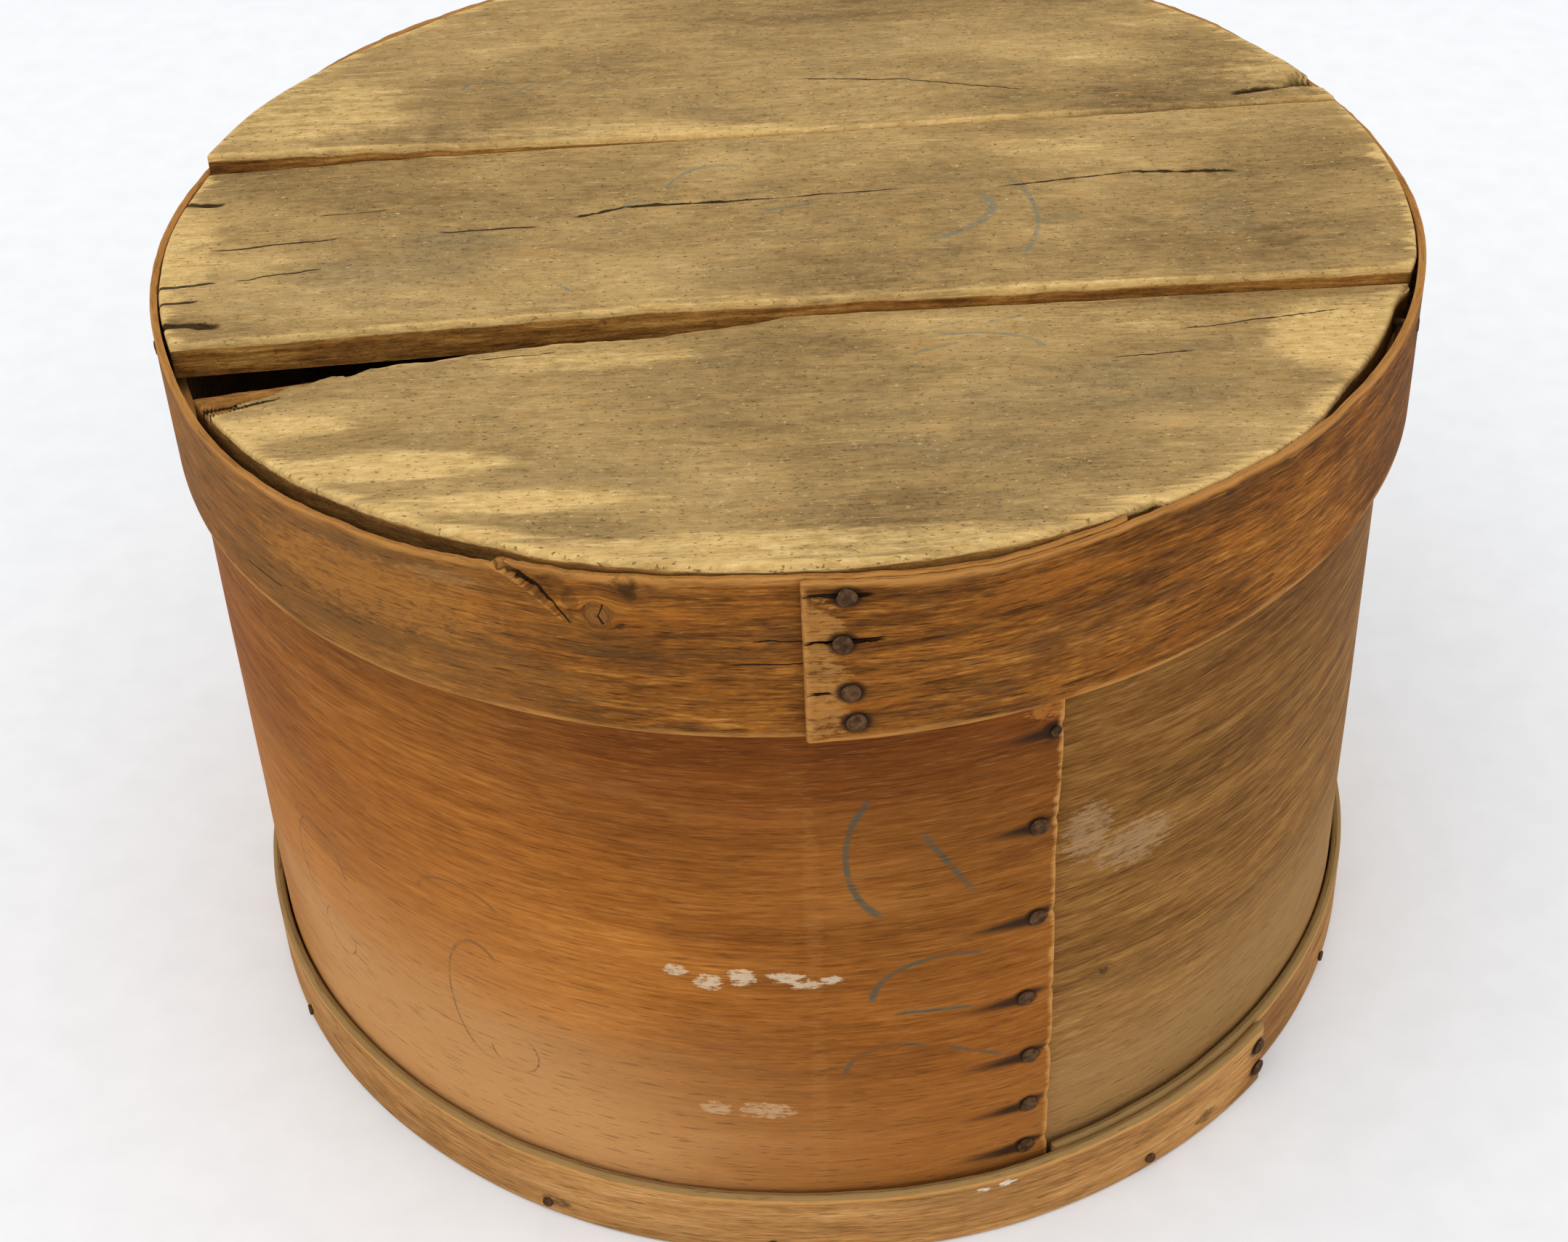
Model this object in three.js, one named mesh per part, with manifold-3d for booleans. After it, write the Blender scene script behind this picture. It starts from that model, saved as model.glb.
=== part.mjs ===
// A round bentwood box with a loose lid, in millimetres, +Z up.
// The origin is at the centre of the base, where the box stands on the ground.
// Angles are degrees anticlockwise from +X seen from above, so -90 is the front.
import * as THREE from "three";
import { mergeVertices } from "three/addons/utils/BufferGeometryUtils.js";
import Module from "manifold-3d";

const wasm = await Module();
wasm.setup();
const { degToRad, lerp, smoothstep } = THREE.MathUtils;

// Driving dimensions
const gap = 0.3;
const arcStep = 3;

const wallHeight = 252.4;
const wallRadius = 197;
const wallLapRadius = 198.5;
const wallThickness = 2.8;
const wallStart = -68.5;
const wallSweep = 382.3;

const hoopHeight = 27.6;
const hoopRadius = 201.2;
const hoopLapRadius = 204.5;
const hoopThickness = 3.5;
const hoopBevel = 1.4;
const hoopStart = -42;
const hoopSweep = 386.2;

const bandBottom = 220.5;
const bandThickness = 2.4;
const bandStart = -90.1;
const bandSweep = 386;
const bandUnderRadius = 201.2;
const bandBlank = 50;
const frontFlare = 2.8;

const baseThickness = 13;
const lidThickness = 12;
const lidTop = 270.3;
const frontDrop = 5.3;
const frontSlope = 0.086;
const backRiseLeft = 5;
const backRiseRight = 1.2;
const seamGap = 0.5;
const backSeam = { y: 54.5, slope: 0.035 };
const frontSeam = { y: -54.2, slope: 0.012 };

const shankRadius = 1.1;
const headRadius = 2.9;
const headHeight = 1.1;
const holeClearance = 0.35;
const clinchLength = 7;

// Outer radius of the lid band, by degrees wound from its outside end.
const bandShape = [
  [0, 203.9], [26, 203.8], [75, 203.6], [130, 204], [185, 202.6], [225, 202.6],
  [257, 200.6], [286, 201.3], [314, 202.4], [338, 201.2], [386, bandUnderRadius],
];

// Height of the band's top edge, by angle from the front lap round to the front again.
const bandEdge = [
  [-112, 272.6], [-92, 275], [-75, 272.4], [-60, 274.6], [-40, 272.4], [-14, 269.8],
  [8, 267.6], [28, 267.8], [40, 270], [90, 270.8], [135, 270.4], [166, 268],
  [180, 269], [194, 269.4], [208, 265.6], [234, 270], [247, 272.4],
];

// Colours
const weathered = { color: 0x7d6543, roughness: 0.85, metalness: 0 };
const bandWood = { color: 0x7a5432, roughness: 0.8, metalness: 0 };
const wallWood = { color: 0x8a6037, roughness: 0.8, metalness: 0 };
const hoopWood = { color: 0x8d6d4b, roughness: 0.8, metalness: 0 };
const baseWood = { color: 0x94774f, roughness: 0.85, metalness: 0 };
const rustyIron = { color: 0x3a2a22, roughness: 0.75, metalness: 0.6 };

const box = new THREE.Group();

function addPart(name, geometry, look) {
  const mesh = new THREE.Mesh(geometry, new THREE.MeshStandardMaterial(look));
  mesh.name = name;
  box.add(mesh);
}

// Closed-mesh booleans
function toSolid(geometry) {
  const bare = geometry.clone();
  bare.deleteAttribute("normal");
  bare.deleteAttribute("uv");
  const merged = mergeVertices(bare, 1e-4);
  const triangles = [];
  const index = merged.index.array;
  for (let i = 0; i < index.length; i += 3) {
    const [a, b, c] = [index[i], index[i + 1], index[i + 2]];
    if (a !== b && b !== c && c !== a) triangles.push(a, b, c);
  }
  const mesh = new wasm.Mesh({
    numProp: 3,
    vertProperties: new Float32Array(merged.attributes.position.array),
    triVerts: new Uint32Array(triangles),
  });
  return new wasm.Manifold(mesh);
}

function toGeometry(solid) {
  const mesh = solid.getMesh();
  const geometry = new THREE.BufferGeometry();
  geometry.setAttribute("position", new THREE.BufferAttribute(mesh.vertProperties, 3));
  geometry.setIndex(new THREE.BufferAttribute(mesh.triVerts, 1));
  geometry.computeVertexNormals();
  return geometry;
}

function cut(geometry, tools) {
  let solid = toSolid(geometry);
  for (const tool of tools) solid = solid.subtract(toSolid(tool));
  return toGeometry(solid);
}

function overlapOf(first, second) {
  return toGeometry(toSolid(first).intersect(toSolid(second)));
}

// Moves every vertex of a geometry by a rule on its position.
function reshape(geometry, rule) {
  const position = geometry.attributes.position;
  const point = new THREE.Vector3();
  for (let i = 0; i < position.count; i++) {
    point.fromBufferAttribute(position, i);
    rule(point);
    position.setXYZ(i, point.x, point.y, point.z);
  }
  geometry.computeVertexNormals();
  return geometry;
}

// Smooth steps between [place, value] pairs.
function through(pairs, place) {
  if (place <= pairs[0][0]) return pairs[0][1];
  for (let i = 1; i < pairs.length; i++) {
    const [end, value] = pairs[i];
    const [start, before] = pairs[i - 1];
    if (place <= end) return lerp(before, value, smoothstep(place, start, end));
  }
  return pairs[pairs.length - 1][1];
}

function polar(radius, degrees) {
  const angle = degToRad(degrees);
  return new THREE.Vector2(radius * Math.cos(angle), radius * Math.sin(angle));
}

// A strip wound into a round past one full turn: a section between its outer face, out to the
// inside end and back along its inner face. radiusAt takes degrees wound from the outside end.
function woundStrip({ start, sweep, direction, thickness, height, steps, radiusAt }) {
  const count = Math.ceil(sweep / arcStep);
  const outer = [];
  const inner = [];
  for (let i = 0; i <= count; i++) {
    const turn = (sweep * i) / count;
    outer.push(polar(radiusAt(turn), start + direction * turn));
    inner.push(polar(radiusAt(turn) - thickness, start + direction * turn));
  }
  const section = new THREE.Shape([...outer, ...inner.reverse()]);
  return new THREE.ExtrudeGeometry(section, { depth: height, steps, bevelEnabled: false });
}

function wallRadiusAt(turn) {
  const under = wallLapRadius - wallThickness - gap;
  return through([[24, wallLapRadius], [75, wallRadius], [310, wallRadius], [358, under]], turn);
}

function hoopRadiusAt(turn) {
  const under = hoopLapRadius - hoopThickness - gap;
  return through(
    [[28, hoopLapRadius], [52, 202.7], [100, hoopRadius], [330, hoopRadius], [358, under]],
    turn,
  );
}

function bandRadiusAt(turn) {
  return through(bandShape, turn);
}

// Radii of the faces that other pieces meet, by angle.
function turnsFrom(start, direction, degrees) {
  const turn = (direction * (degrees - start)) % 360;
  return turn < 0 ? turn + 360 : turn;
}

function wallOuter(degrees) {
  return wallRadiusAt(turnsFrom(wallStart, -1, degrees));
}

function hoopOuter(degrees) {
  return hoopRadiusAt(turnsFrom(hoopStart, -1, degrees));
}

function bandOuter(degrees) {
  return bandRadiusAt(turnsFrom(bandStart, 1, degrees));
}

function wallInner(degrees) {
  const turn = turnsFrom(wallStart, -1, degrees);
  const inside = turn + 360 <= wallSweep ? turn + 360 : turn;
  return wallRadiusAt(inside) - wallThickness;
}

function bandInner(degrees) {
  const turn = turnsFrom(bandStart, 1, degrees);
  const inside = turn + 360 <= bandSweep ? turn + 360 : turn;
  return bandRadiusAt(inside) - bandThickness;
}

// The tightest radius inside a strip near an angle, for a board that stops short of it.
function insideOf(innerAt, degrees) {
  const near = [-arcStep, 0, arcStep].map((offset) => innerAt(degrees + offset));
  return Math.min(...near) - gap;
}

function bandTop(degrees) {
  const turn = turnsFrom(-112, 1, degrees) - 112;
  return through(bandEdge, turn);
}

// The band's front left stretch has sprung outwards at the top, left of its crack.
function flare(degrees, z) {
  const turn = turnsFrom(-180, 1, degrees) - 180;
  const along = smoothstep(turn, -160, -132) * (1 - smoothstep(turn, -114.5, -111));
  return frontFlare * along * smoothstep(z, 250, 270);
}

// Nails
// A nail lies along +Y before it is placed, with the underside of its head at the origin.
function nailGeometry({ depth, head, clinched, spin }) {
  const tip = clinched ? shankRadius : 0.35;
  const profile = [
    [0, -depth], [tip, -depth], [shankRadius, Math.min(-depth + 4, -0.5)], [shankRadius, 0],
    [head, 0], [head * 0.92, headHeight * 0.55], [head * 0.5, headHeight], [0, headHeight],
  ];
  const points = profile.map(([x, y]) => new THREE.Vector2(x, y));
  const body = new THREE.LatheGeometry(points, 8);
  if (!clinched) return body;
  const bent = new THREE.CylinderGeometry(0.4, shankRadius, clinchLength, 6);
  bent.rotateZ(-Math.PI / 2);
  bent.translate(clinchLength / 2 - 0.4, -depth + shankRadius * 0.8, 0);
  bent.rotateY(spin);
  return toGeometry(toSolid(body).add(toSolid(bent)));
}

// Turns a piece that lies along +Y so that it points outwards at an angle, at a radius and height.
function faceOutwards(geometry, degrees, radius, z) {
  const place = polar(radius, degrees);
  geometry.rotateZ(degToRad(degrees - 90));
  geometry.translate(place.x, place.y, z);
  return geometry;
}

function nailHole(nail) {
  const length = nail.depth + 6;
  const radius = shankRadius + holeClearance;
  const hole = new THREE.CylinderGeometry(radius, radius, length, 8);
  hole.translate(0, 4 - length / 2, 0);
  return faceOutwards(hole, nail.degrees, nail.seat, nail.z);
}

function addNail(name, nail) {
  const geometry = nailGeometry({ head: headRadius, clinched: false, spin: 0, ...nail });
  addPart(name, faceOutwards(geometry, nail.degrees, nail.seat, nail.z), rustyIron);
}

const clinchDepth = 2 * gap + 2 * shankRadius;

// Down the wall's lap, clinched inside. The top one is sunk flush, so that the lid slides past.
const wallNails = [
  [-69.4, 205.7, 1.7], [-70.6, 170.8], [-70.5, 133.9], [-71.4, 100.5], [-70.8, 74.2],
  [-70.7, 51.2], [-71, 31.8],
].map(([degrees, z, head = headRadius], i) => ({
  degrees,
  z,
  head,
  seat: wallOuter(degrees) + gap,
  depth: wallOuter(degrees) - wallInner(degrees) + gap + clinchDepth,
  clinched: true,
  spin: Math.PI / 2 + i,
}));
wallNails.push({
  degrees: -71.2,
  z: 238,
  head: shankRadius,
  seat: wallOuter(-71.2) - headHeight - gap,
  depth: wallOuter(-71.2) - wallInner(-71.2) + clinchDepth - headHeight - gap,
  clinched: true,
  spin: 0,
});

// Two through the hoop's lap. The upper is clinched inside, the lower is in the base's edge.
const hoopNails = [[-43.1, 19.8, true], [-42.9, 8.6, false]].map(([degrees, z, clinched]) => ({
  degrees,
  z,
  clinched,
  head: headRadius,
  seat: hoopOuter(degrees) + gap,
  depth: hoopOuter(degrees) - wallInner(degrees) + gap + (clinched ? clinchDepth : 10),
  spin: -Math.PI / 2,
}));

// Small brads near the hoop's lower edge, into the base boards.
const baseNails = [-117, -95, -58, -25, 12, 48, 84, 120, 156, -154].map((degrees) => ({
  degrees,
  z: 5.2,
  head: 1.9,
  seat: hoopOuter(degrees) + gap,
  depth: hoopOuter(degrees) - wallInner(degrees) + gap + 11,
}));

// Down the lid band's lap. The top one is in the front board's edge, the others end flush inside.
const bandLap = bandOuter(-86) - bandInner(-86) + gap;
const bandNails = [
  [-86.7, 270.2, 16], [-87.1, 254.6, bandLap - 0.1], [-86.6, 237.7, bandLap - 0.1],
  [-86.2, 227.3, bandLap - 0.1],
].map(([degrees, z, depth]) => ({ degrees, z, depth, seat: bandOuter(degrees) + gap }));

// Round the lid's rim, through the band into the boards' edges. Two have worked loose.
const rimNails = [
  [-104.4, 269.2, 0], [-165, 262.6, 0], [173, 262.4, 0.8], [140, 263.6, 0], [101, 263.8, 0],
  [62, 263.8, 0], [34, 263.2, 0], [-12.5, 263.4, 1.6], [-19.5, 259.6, 0],
].map(([degrees, z, out]) => ({
  degrees,
  z,
  head: 2.4,
  seat: bandOuter(degrees) + gap + out,
  depth: 17 + out,
}));

// One nail in the front of the rim has fallen out and left its hole.
const emptyNail = { degrees: -58.5, z: 267.6, seat: bandOuter(-58.5) + gap, depth: 16 };

// Box
function wall() {
  const strip = woundStrip({
    start: wallStart,
    sweep: wallSweep,
    direction: -1,
    thickness: wallThickness,
    height: wallHeight,
    steps: 1,
    radiusAt: wallRadiusAt,
  });
  return cut(strip, [...wallNails, ...hoopNails, ...baseNails].map(nailHole));
}

function bottomHoop() {
  const strip = woundStrip({
    start: hoopStart,
    sweep: hoopSweep,
    direction: -1,
    thickness: hoopThickness,
    height: hoopHeight,
    steps: 2,
    radiusAt: hoopRadiusAt,
  });
  // The worn upper arris: the middle ring of points moves up to it, the top outer ring moves in.
  const bevelled = reshape(strip, (point) => {
    const radius = Math.hypot(point.x, point.y);
    const level = Math.round((point.z * 2) / hoopHeight);
    if (level === 1) point.z = hoopHeight - hoopBevel;
    const degrees = THREE.MathUtils.radToDeg(Math.atan2(point.y, point.x));
    const isOuter = Math.abs(radius - hoopOuter(degrees)) < 0.2;
    if (level === 2 && isOuter) {
      point.x *= 1 - (hoopBevel * 0.7) / radius;
      point.y *= 1 - (hoopBevel * 0.7) / radius;
    }
  });
  return cut(bevelled, [...hoopNails, ...baseNails].map(nailHole));
}

function roundBoard(radiusAt, thickness) {
  const rim = [];
  for (let degrees = 0; degrees < 360; degrees += arcStep) rim.push(polar(radiusAt(degrees), degrees));
  return new THREE.ExtrudeGeometry(new THREE.Shape(rim), { depth: thickness, bevelEnabled: false });
}

// A closed outline from [x, y] points, wide enough to cut one board out of the round.
function outlineBlock(points, thickness) {
  const shape = new THREE.Shape(points.map(([x, y]) => new THREE.Vector2(x, y)));
  const block = new THREE.ExtrudeGeometry(shape, { depth: thickness + 2, bevelEnabled: false });
  return block.translate(0, 0, -1);
}

const reach = 230;

function baseBoard(low, high, turn) {
  const slab = new THREE.BoxGeometry(2 * reach, high - low, baseThickness + 2);
  slab.translate(0, (high + low) / 2, baseThickness / 2);
  slab.rotateZ(degToRad(turn));
  const round = roundBoard((degrees) => insideOf(wallInner, degrees), baseThickness);
  return cut(overlapOf(round, slab), [...hoopNails, ...baseNails].map(nailHole));
}

// Lid
function lidBand() {
  const strip = woundStrip({
    start: bandStart,
    sweep: bandSweep,
    direction: 1,
    thickness: bandThickness,
    height: bandBlank,
    steps: 3,
    radiusAt: bandRadiusAt,
  });
  const shaped = reshape(strip, (point) => {
    const degrees = THREE.MathUtils.radToDeg(Math.atan2(point.y, point.x));
    const z = lerp(bandBottom, bandTop(degrees), point.z / bandBlank);
    const radius = Math.hypot(point.x, point.y);
    const spread = (radius + flare(degrees, z)) / radius;
    point.set(point.x * spread, point.y * spread, z);
  });
  const nails = [...bandNails, ...rimNails, emptyNail].map(nailHole);
  return cut(shaped, [...nails, bandCrack(), bandSplit(bandNails[0], 0), bandSplit(bandNails[1], 18)]);
}

// A crack that runs down from the top edge and closes to nothing, bending to the right.
function bandCrack() {
  const line = [[-6, 282], [-5.4, 272], [-1.6, 267], [0.2, 261], [3.4, 257], [6, 252]];
  const width = [2.6, 2.4, 1.6, 1.2, 0.8, 0];
  const left = line.map(([x, z], i) => [x - width[i] / 2, z]);
  const right = line.map(([x, z], i) => [x + width[i] / 2, z]).slice(0, -1);
  return bandSlot([...left, ...right.reverse()], -110.7);
}

// A split from the band's outside end, past a nail and on for some way.
function bandSplit(nail, beyond) {
  const from = -(bandOuter(nail.degrees) + 2) * degToRad(nail.degrees - bandStart) - 1;
  const points = [[from, 0.7], [from, -0.7], [1 + beyond, 0]].map(([x, z]) => [x, nail.z + z]);
  return bandSlot(points, nail.degrees, bandOuter(nail.degrees) - bandThickness - gap / 2);
}

// Cuts inwards through the band at an angle. x runs anticlockwise along the band, z is height.
function bandSlot(points, degrees, depthRadius = 190) {
  const shape = new THREE.Shape(points.map(([x, z]) => new THREE.Vector2(x, z)));
  const slot = new THREE.ExtrudeGeometry(shape, { depth: 215 - depthRadius, bevelEnabled: false });
  slot.rotateX(Math.PI / 2);
  slot.translate(0, -depthRadius, 0);
  return slot.rotateZ(degToRad(degrees + 90));
}

function seamY(seam, x) {
  return seam.y + seam.slope * x;
}

function lidRadius(degrees) {
  const turned = degrees > 180 ? degrees - 360 : degrees;
  const rightGap = smoothstep(turned, -46, -34) * (1 - smoothstep(turned, -20, -12));
  const leftGap = smoothstep(turned, -172, -150) * (1 - smoothstep(turned, -118, -108));
  return insideOf(bandInner, degrees) - 0.2 - 4.6 * rightGap - 1.5 * leftGap;
}

function lidBoard(outline) {
  const round = roundBoard(lidRadius, lidThickness);
  return overlapOf(round, outlineBlock(outline, lidThickness));
}

function lidBoardBack() {
  const board = lidBoard([
    [-reach, seamY(backSeam, -reach) + seamGap / 2],
    [reach, seamY(backSeam, reach) + seamGap / 2],
    [reach, reach],
    [-reach, reach],
  ]);
  // It stands proud along its seam, most at the left.
  const lifted = reshape(board, (point) => {
    const rise = lerp(backRiseRight, backRiseLeft, smoothstep(-point.x, -20, 190));
    const alongSeam = 1 - smoothstep(point.y, 60, 150);
    point.z += lidTop - lidThickness + lerp(0.6, rise, alongSeam);
  });
  return cut(lifted, rimNails.map(nailHole));
}

function lidBoardMiddle() {
  const board = lidBoard([
    [-reach, -66.5],
    [-150, -61.4],
    [-41, seamY(frontSeam, -41) + seamGap / 2],
    [reach, seamY(frontSeam, reach) + seamGap / 2],
    [reach, seamY(backSeam, reach) - seamGap / 2],
    [-reach, seamY(backSeam, -reach) - seamGap / 2],
  ]);
  board.translate(0, 0, lidTop - lidThickness);
  return cut(board, rimNails.map(nailHole));
}

// The front board has dropped along the seam and broken away at its left end.
function lidBoardFront() {
  const board = lidBoard([
    [-reach, -reach],
    [reach, -reach],
    [reach, seamY(frontSeam, reach) - seamGap / 2],
    [0, seamY(frontSeam, 0) - seamGap / 2],
    [-8, -58],
    [-41, -65],
    [-71, -66],
    [-105, -73],
    [-133, -77],
    [-147, -79.5],
    [-reach, -96.7],
  ]);
  const tilted = reshape(board, (point) => {
    point.z += lidTop - frontDrop - lidThickness + frontSlope * (frontSeam.y - point.y);
  });
  return cut(tilted, [...rimNails, bandNails[0], emptyNail].map(nailHole));
}

addPart("wall", wall(), wallWood);
addPart("bottom_hoop", bottomHoop(), hoopWood);
addPart("bottom_board_front", baseBoard(-reach, -63, 8), baseWood);
addPart("bottom_board_middle", baseBoard(-62.5, 58, 8), baseWood);
addPart("bottom_board_back", baseBoard(58.5, reach, 8), baseWood);
addPart("lid_board_front", lidBoardFront(), weathered);
addPart("lid_board_middle", lidBoardMiddle(), weathered);
addPart("lid_board_back", lidBoardBack(), weathered);
addPart("lid_band", lidBand(), bandWood);
wallNails.forEach((nail, i) => addNail(`wall_nail_${i + 1}`, nail));
hoopNails.forEach((nail, i) => addNail(`hoop_nail_${i + 1}`, nail));
baseNails.forEach((nail, i) => addNail(`bottom_nail_${i + 1}`, nail));
bandNails.forEach((nail, i) => addNail(`band_nail_${i + 1}`, nail));
rimNails.forEach((nail, i) => addNail(`rim_nail_${i + 1}`, nail));

box.name = "hat_box";
export default box;
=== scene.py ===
import math
import bpy
from mathutils import Matrix, Vector, noise


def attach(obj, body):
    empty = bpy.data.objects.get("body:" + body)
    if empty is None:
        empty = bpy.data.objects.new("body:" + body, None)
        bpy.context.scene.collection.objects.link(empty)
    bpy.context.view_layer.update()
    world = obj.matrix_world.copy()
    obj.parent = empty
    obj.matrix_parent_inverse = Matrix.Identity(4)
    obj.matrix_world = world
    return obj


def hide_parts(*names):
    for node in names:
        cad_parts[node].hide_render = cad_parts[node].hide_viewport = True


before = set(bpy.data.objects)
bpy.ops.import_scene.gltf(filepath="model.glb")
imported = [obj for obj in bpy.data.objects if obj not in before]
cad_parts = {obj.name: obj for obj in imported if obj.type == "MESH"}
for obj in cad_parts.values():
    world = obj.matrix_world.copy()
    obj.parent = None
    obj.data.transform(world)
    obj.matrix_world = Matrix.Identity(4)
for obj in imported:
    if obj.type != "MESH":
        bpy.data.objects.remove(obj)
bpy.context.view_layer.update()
bpy.ops.object.select_all(action="DESELECT")
mm = 0.001

# Camera: stands in front of the box and looks down on it
camera = {"x": -4.9, "y": -726.4, "z": 673.8, "down": 38.16, "roll": -2.67, "lens": 58.41}


def makeCamera():
    bpy.ops.object.camera_add()
    cam = bpy.context.object
    down = math.radians(camera["down"])
    roll = math.radians(camera["roll"])
    ahead = Vector((0, math.cos(down), -math.sin(down)))
    side = Vector((1, 0, 0))
    up = Vector((0, math.sin(down), math.cos(down)))
    right = side * math.cos(roll) + up * math.sin(roll)
    top = up * math.cos(roll) - side * math.sin(roll)
    turn = Matrix((right, top, -ahead)).transposed().to_4x4()
    place = Matrix.Translation(Vector((camera["x"], camera["y"], camera["z"])) * mm)
    cam.matrix_world = place @ turn
    cam.data.lens = camera["lens"]
    cam.data.sensor_width = 36
    bpy.context.scene.camera = cam
    print("camera ready")


class Wire:
    def __init__(self, look, out):
        self.look = look
        self.out = out

    def combine(self, operation, other, swapped=False):
        first, second = (other, self) if swapped else (self, other)
        return self.look.node("ShaderNodeMath", {"operation": operation}, {0: first, 1: second})

    def __add__(self, other):
        return self.combine("ADD", other)

    def __radd__(self, other):
        return self.combine("ADD", other)

    def __sub__(self, other):
        return self.combine("SUBTRACT", other)

    def __rsub__(self, other):
        return self.combine("SUBTRACT", other, swapped=True)

    def __mul__(self, other):
        return self.combine("MULTIPLY", other)

    def __rmul__(self, other):
        return self.combine("MULTIPLY", other)

    def __pow__(self, other):
        return self.combine("POWER", other)

    def __abs__(self):
        return self.combine("ABSOLUTE", 0)


class Look:
    def __init__(self, name):
        self.material = bpy.data.materials.new(name)
        self.material.use_nodes = True
        self.tree = self.material.node_tree
        self.tree.nodes.clear()

    def node(self, kind, settings, sockets, output=0):
        made = self.tree.nodes.new(kind)
        for key, value in settings.items():
            if key == "stops":
                self.fillRamp(made.color_ramp, value)
            else:
                setattr(made, key, value)
        for key, value in sockets.items():
            if isinstance(value, Wire):
                self.tree.links.new(value.out, made.inputs[key])
            else:
                made.inputs[key].default_value = value
        return Wire(self, made.outputs[output])

    def fillRamp(self, ramp, stops):
        while len(ramp.elements) < len(stops):
            ramp.elements.new(0.5)
        for element, (position, colour) in zip(ramp.elements, stops):
            element.position = position
            element.color = (*colour, 1)

    def attribute(self, name, output="Vector"):
        return self.node("ShaderNodeAttribute", {"attribute_name": name}, {}, output)

    def noise(self, vector, scale, shift=(0, 0, 0), detail=3, rough=0.5, turn=0):
        values = {"Vector": vector, "Scale": scale, "Location": shift, "Rotation": (0, 0, turn)}
        mapped = self.node("ShaderNodeMapping", {}, values)
        values = {"Vector": mapped, "Scale": 1, "Detail": detail, "Roughness": rough}
        return self.node("ShaderNodeTexNoise", {}, values)

    def step(self, value, low, high, start=0, end=1):
        sockets = {"Value": value, "From Min": low, "From Max": high, "To Min": start, "To Max": end}
        return self.node("ShaderNodeMapRange", {"interpolation_type": "SMOOTHSTEP"}, sockets)

    def ramp(self, value, stops):
        return self.node("ShaderNodeValToRGB", {"stops": stops}, {"Fac": value})

    def mix(self, share, first, second, blend="MIX"):
        first = (*first, 1) if isinstance(first, tuple) else first
        second = (*second, 1) if isinstance(second, tuple) else second
        settings = {"data_type": "RGBA", "blend_type": blend}
        return self.node("ShaderNodeMix", settings, {0: share, 6: first, 7: second}, 2)

    def xyz(self, vector):
        made = self.node("ShaderNodeSeparateXYZ", {}, {"Vector": vector}).out.node
        return [Wire(self, made.outputs[i]) for i in range(3)]

    def most(self, values):
        made = values[0]
        for value in values[1:]:
            made = made.combine("MAXIMUM", value)
        return made

    def spot(self, x, y, centre, size):
        # 1 in the middle of an ellipse, falling to 0 at its outline; millimetres
        dx = (x - centre[0] * mm) * (1 / (size[0] * mm))
        dy = (y - centre[1] * mm) * (1 / (size[1] * mm))
        return 1 - self.step(dx * dx + dy * dy, 0, 1)

    def stroke(self, x, y, start, end, width, wander=None):
        # 1 on a straight stroke and 0 beyond its half width, thinning to its ends; millimetres
        length = math.dist(start, end)
        along = ((end[0] - start[0]) / length, (end[1] - start[1]) / length)
        fromX, fromY = x - start[0] * mm, y - start[1] * mm
        u = fromX * along[0] + fromY * along[1]
        v = fromY * along[0] - fromX * along[1]
        if wander is not None:
            v = v + wander
        across = 1 - self.step(abs(v), 0.25 * width * mm, width * mm)
        length *= mm
        return across * self.step(u, -0.1 * length, 0.2 * length) * (1 - self.step(u, 0.8 * length, 1.1 * length))

    def arc(self, x, y, centre, size, width, keep):
        # the part of an ellipse's outline that lies beyond a straight line; millimetres
        dx = (x - centre[0] * mm) * (1 / (size[0] * mm))
        dy = (y - centre[1] * mm) * (1 / (size[1] * mm))
        off = abs((dx * dx + dy * dy) ** 0.5 - 1) * (min(size) * mm)
        near = 1 - self.step(off, 0.3 * width * mm, width * mm)
        return near * self.step(dx * keep[0] + dy * keep[1], keep[2] - 0.1, keep[2] + 0.1)

    def run(self, x, y, place, level, reach, spread):
        # a stain that starts at a nail and thins out along the grain; a negative reach runs the other way
        u = (x - place * mm) * (1 / (reach * mm))
        v = abs(y - level * mm) * (1 / (spread * mm))
        return (1 - self.step(u, 0, 1)) * self.step(u, -0.1, 0) * (1 - self.step(v + u * 0.35, 0, 1))

    def zone(self, x, y, alongLimits, upLimits, blur):
        # 1 inside a soft-edged stretch, given as start, full, less and end both ways; blur shifts its edges
        startX, fullX, lessX, endX = [limit * mm for limit in alongLimits]
        startY, fullY, lessY, endY = [limit * mm for limit in upLimits]
        shiftedX, shiftedY = x + blur * 0.14, y + blur * 0.09
        inX = self.step(shiftedX, startX, fullX) * (1 - self.step(shiftedX, lessX, endX))
        return inX * self.step(shiftedY, startY, fullY) * (1 - self.step(shiftedY, lessY, endY))

    def finish(self, colour, rough, height, bump, specular):
        normal = self.node("ShaderNodeBump", {}, {"Height": height, "Strength": 1, "Distance": bump})
        values = {"Base Color": colour, "Roughness": rough, "Normal": normal, "Specular IOR Level": specular}
        shader = self.node("ShaderNodeBsdfPrincipled", {}, values)
        out = self.tree.nodes.new("ShaderNodeOutputMaterial")
        self.tree.links.new(shader.out, out.inputs["Surface"])
        return self.material


def smooth(value, low, high):
    t = min(max((value - low) / (high - low), 0), 1)
    return t * t * (3 - 2 * t)


def lerp(first, second, share):
    return first + (second - first) * share


def through(pairs, place):
    # smooth steps between (place, value) pairs
    if place <= pairs[0][0]:
        return pairs[0][1]
    for (start, before), (end, value) in zip(pairs, pairs[1:]):
        if place <= end:
            return lerp(before, value, smooth(place, start, end))
    return pairs[-1][1]


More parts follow.
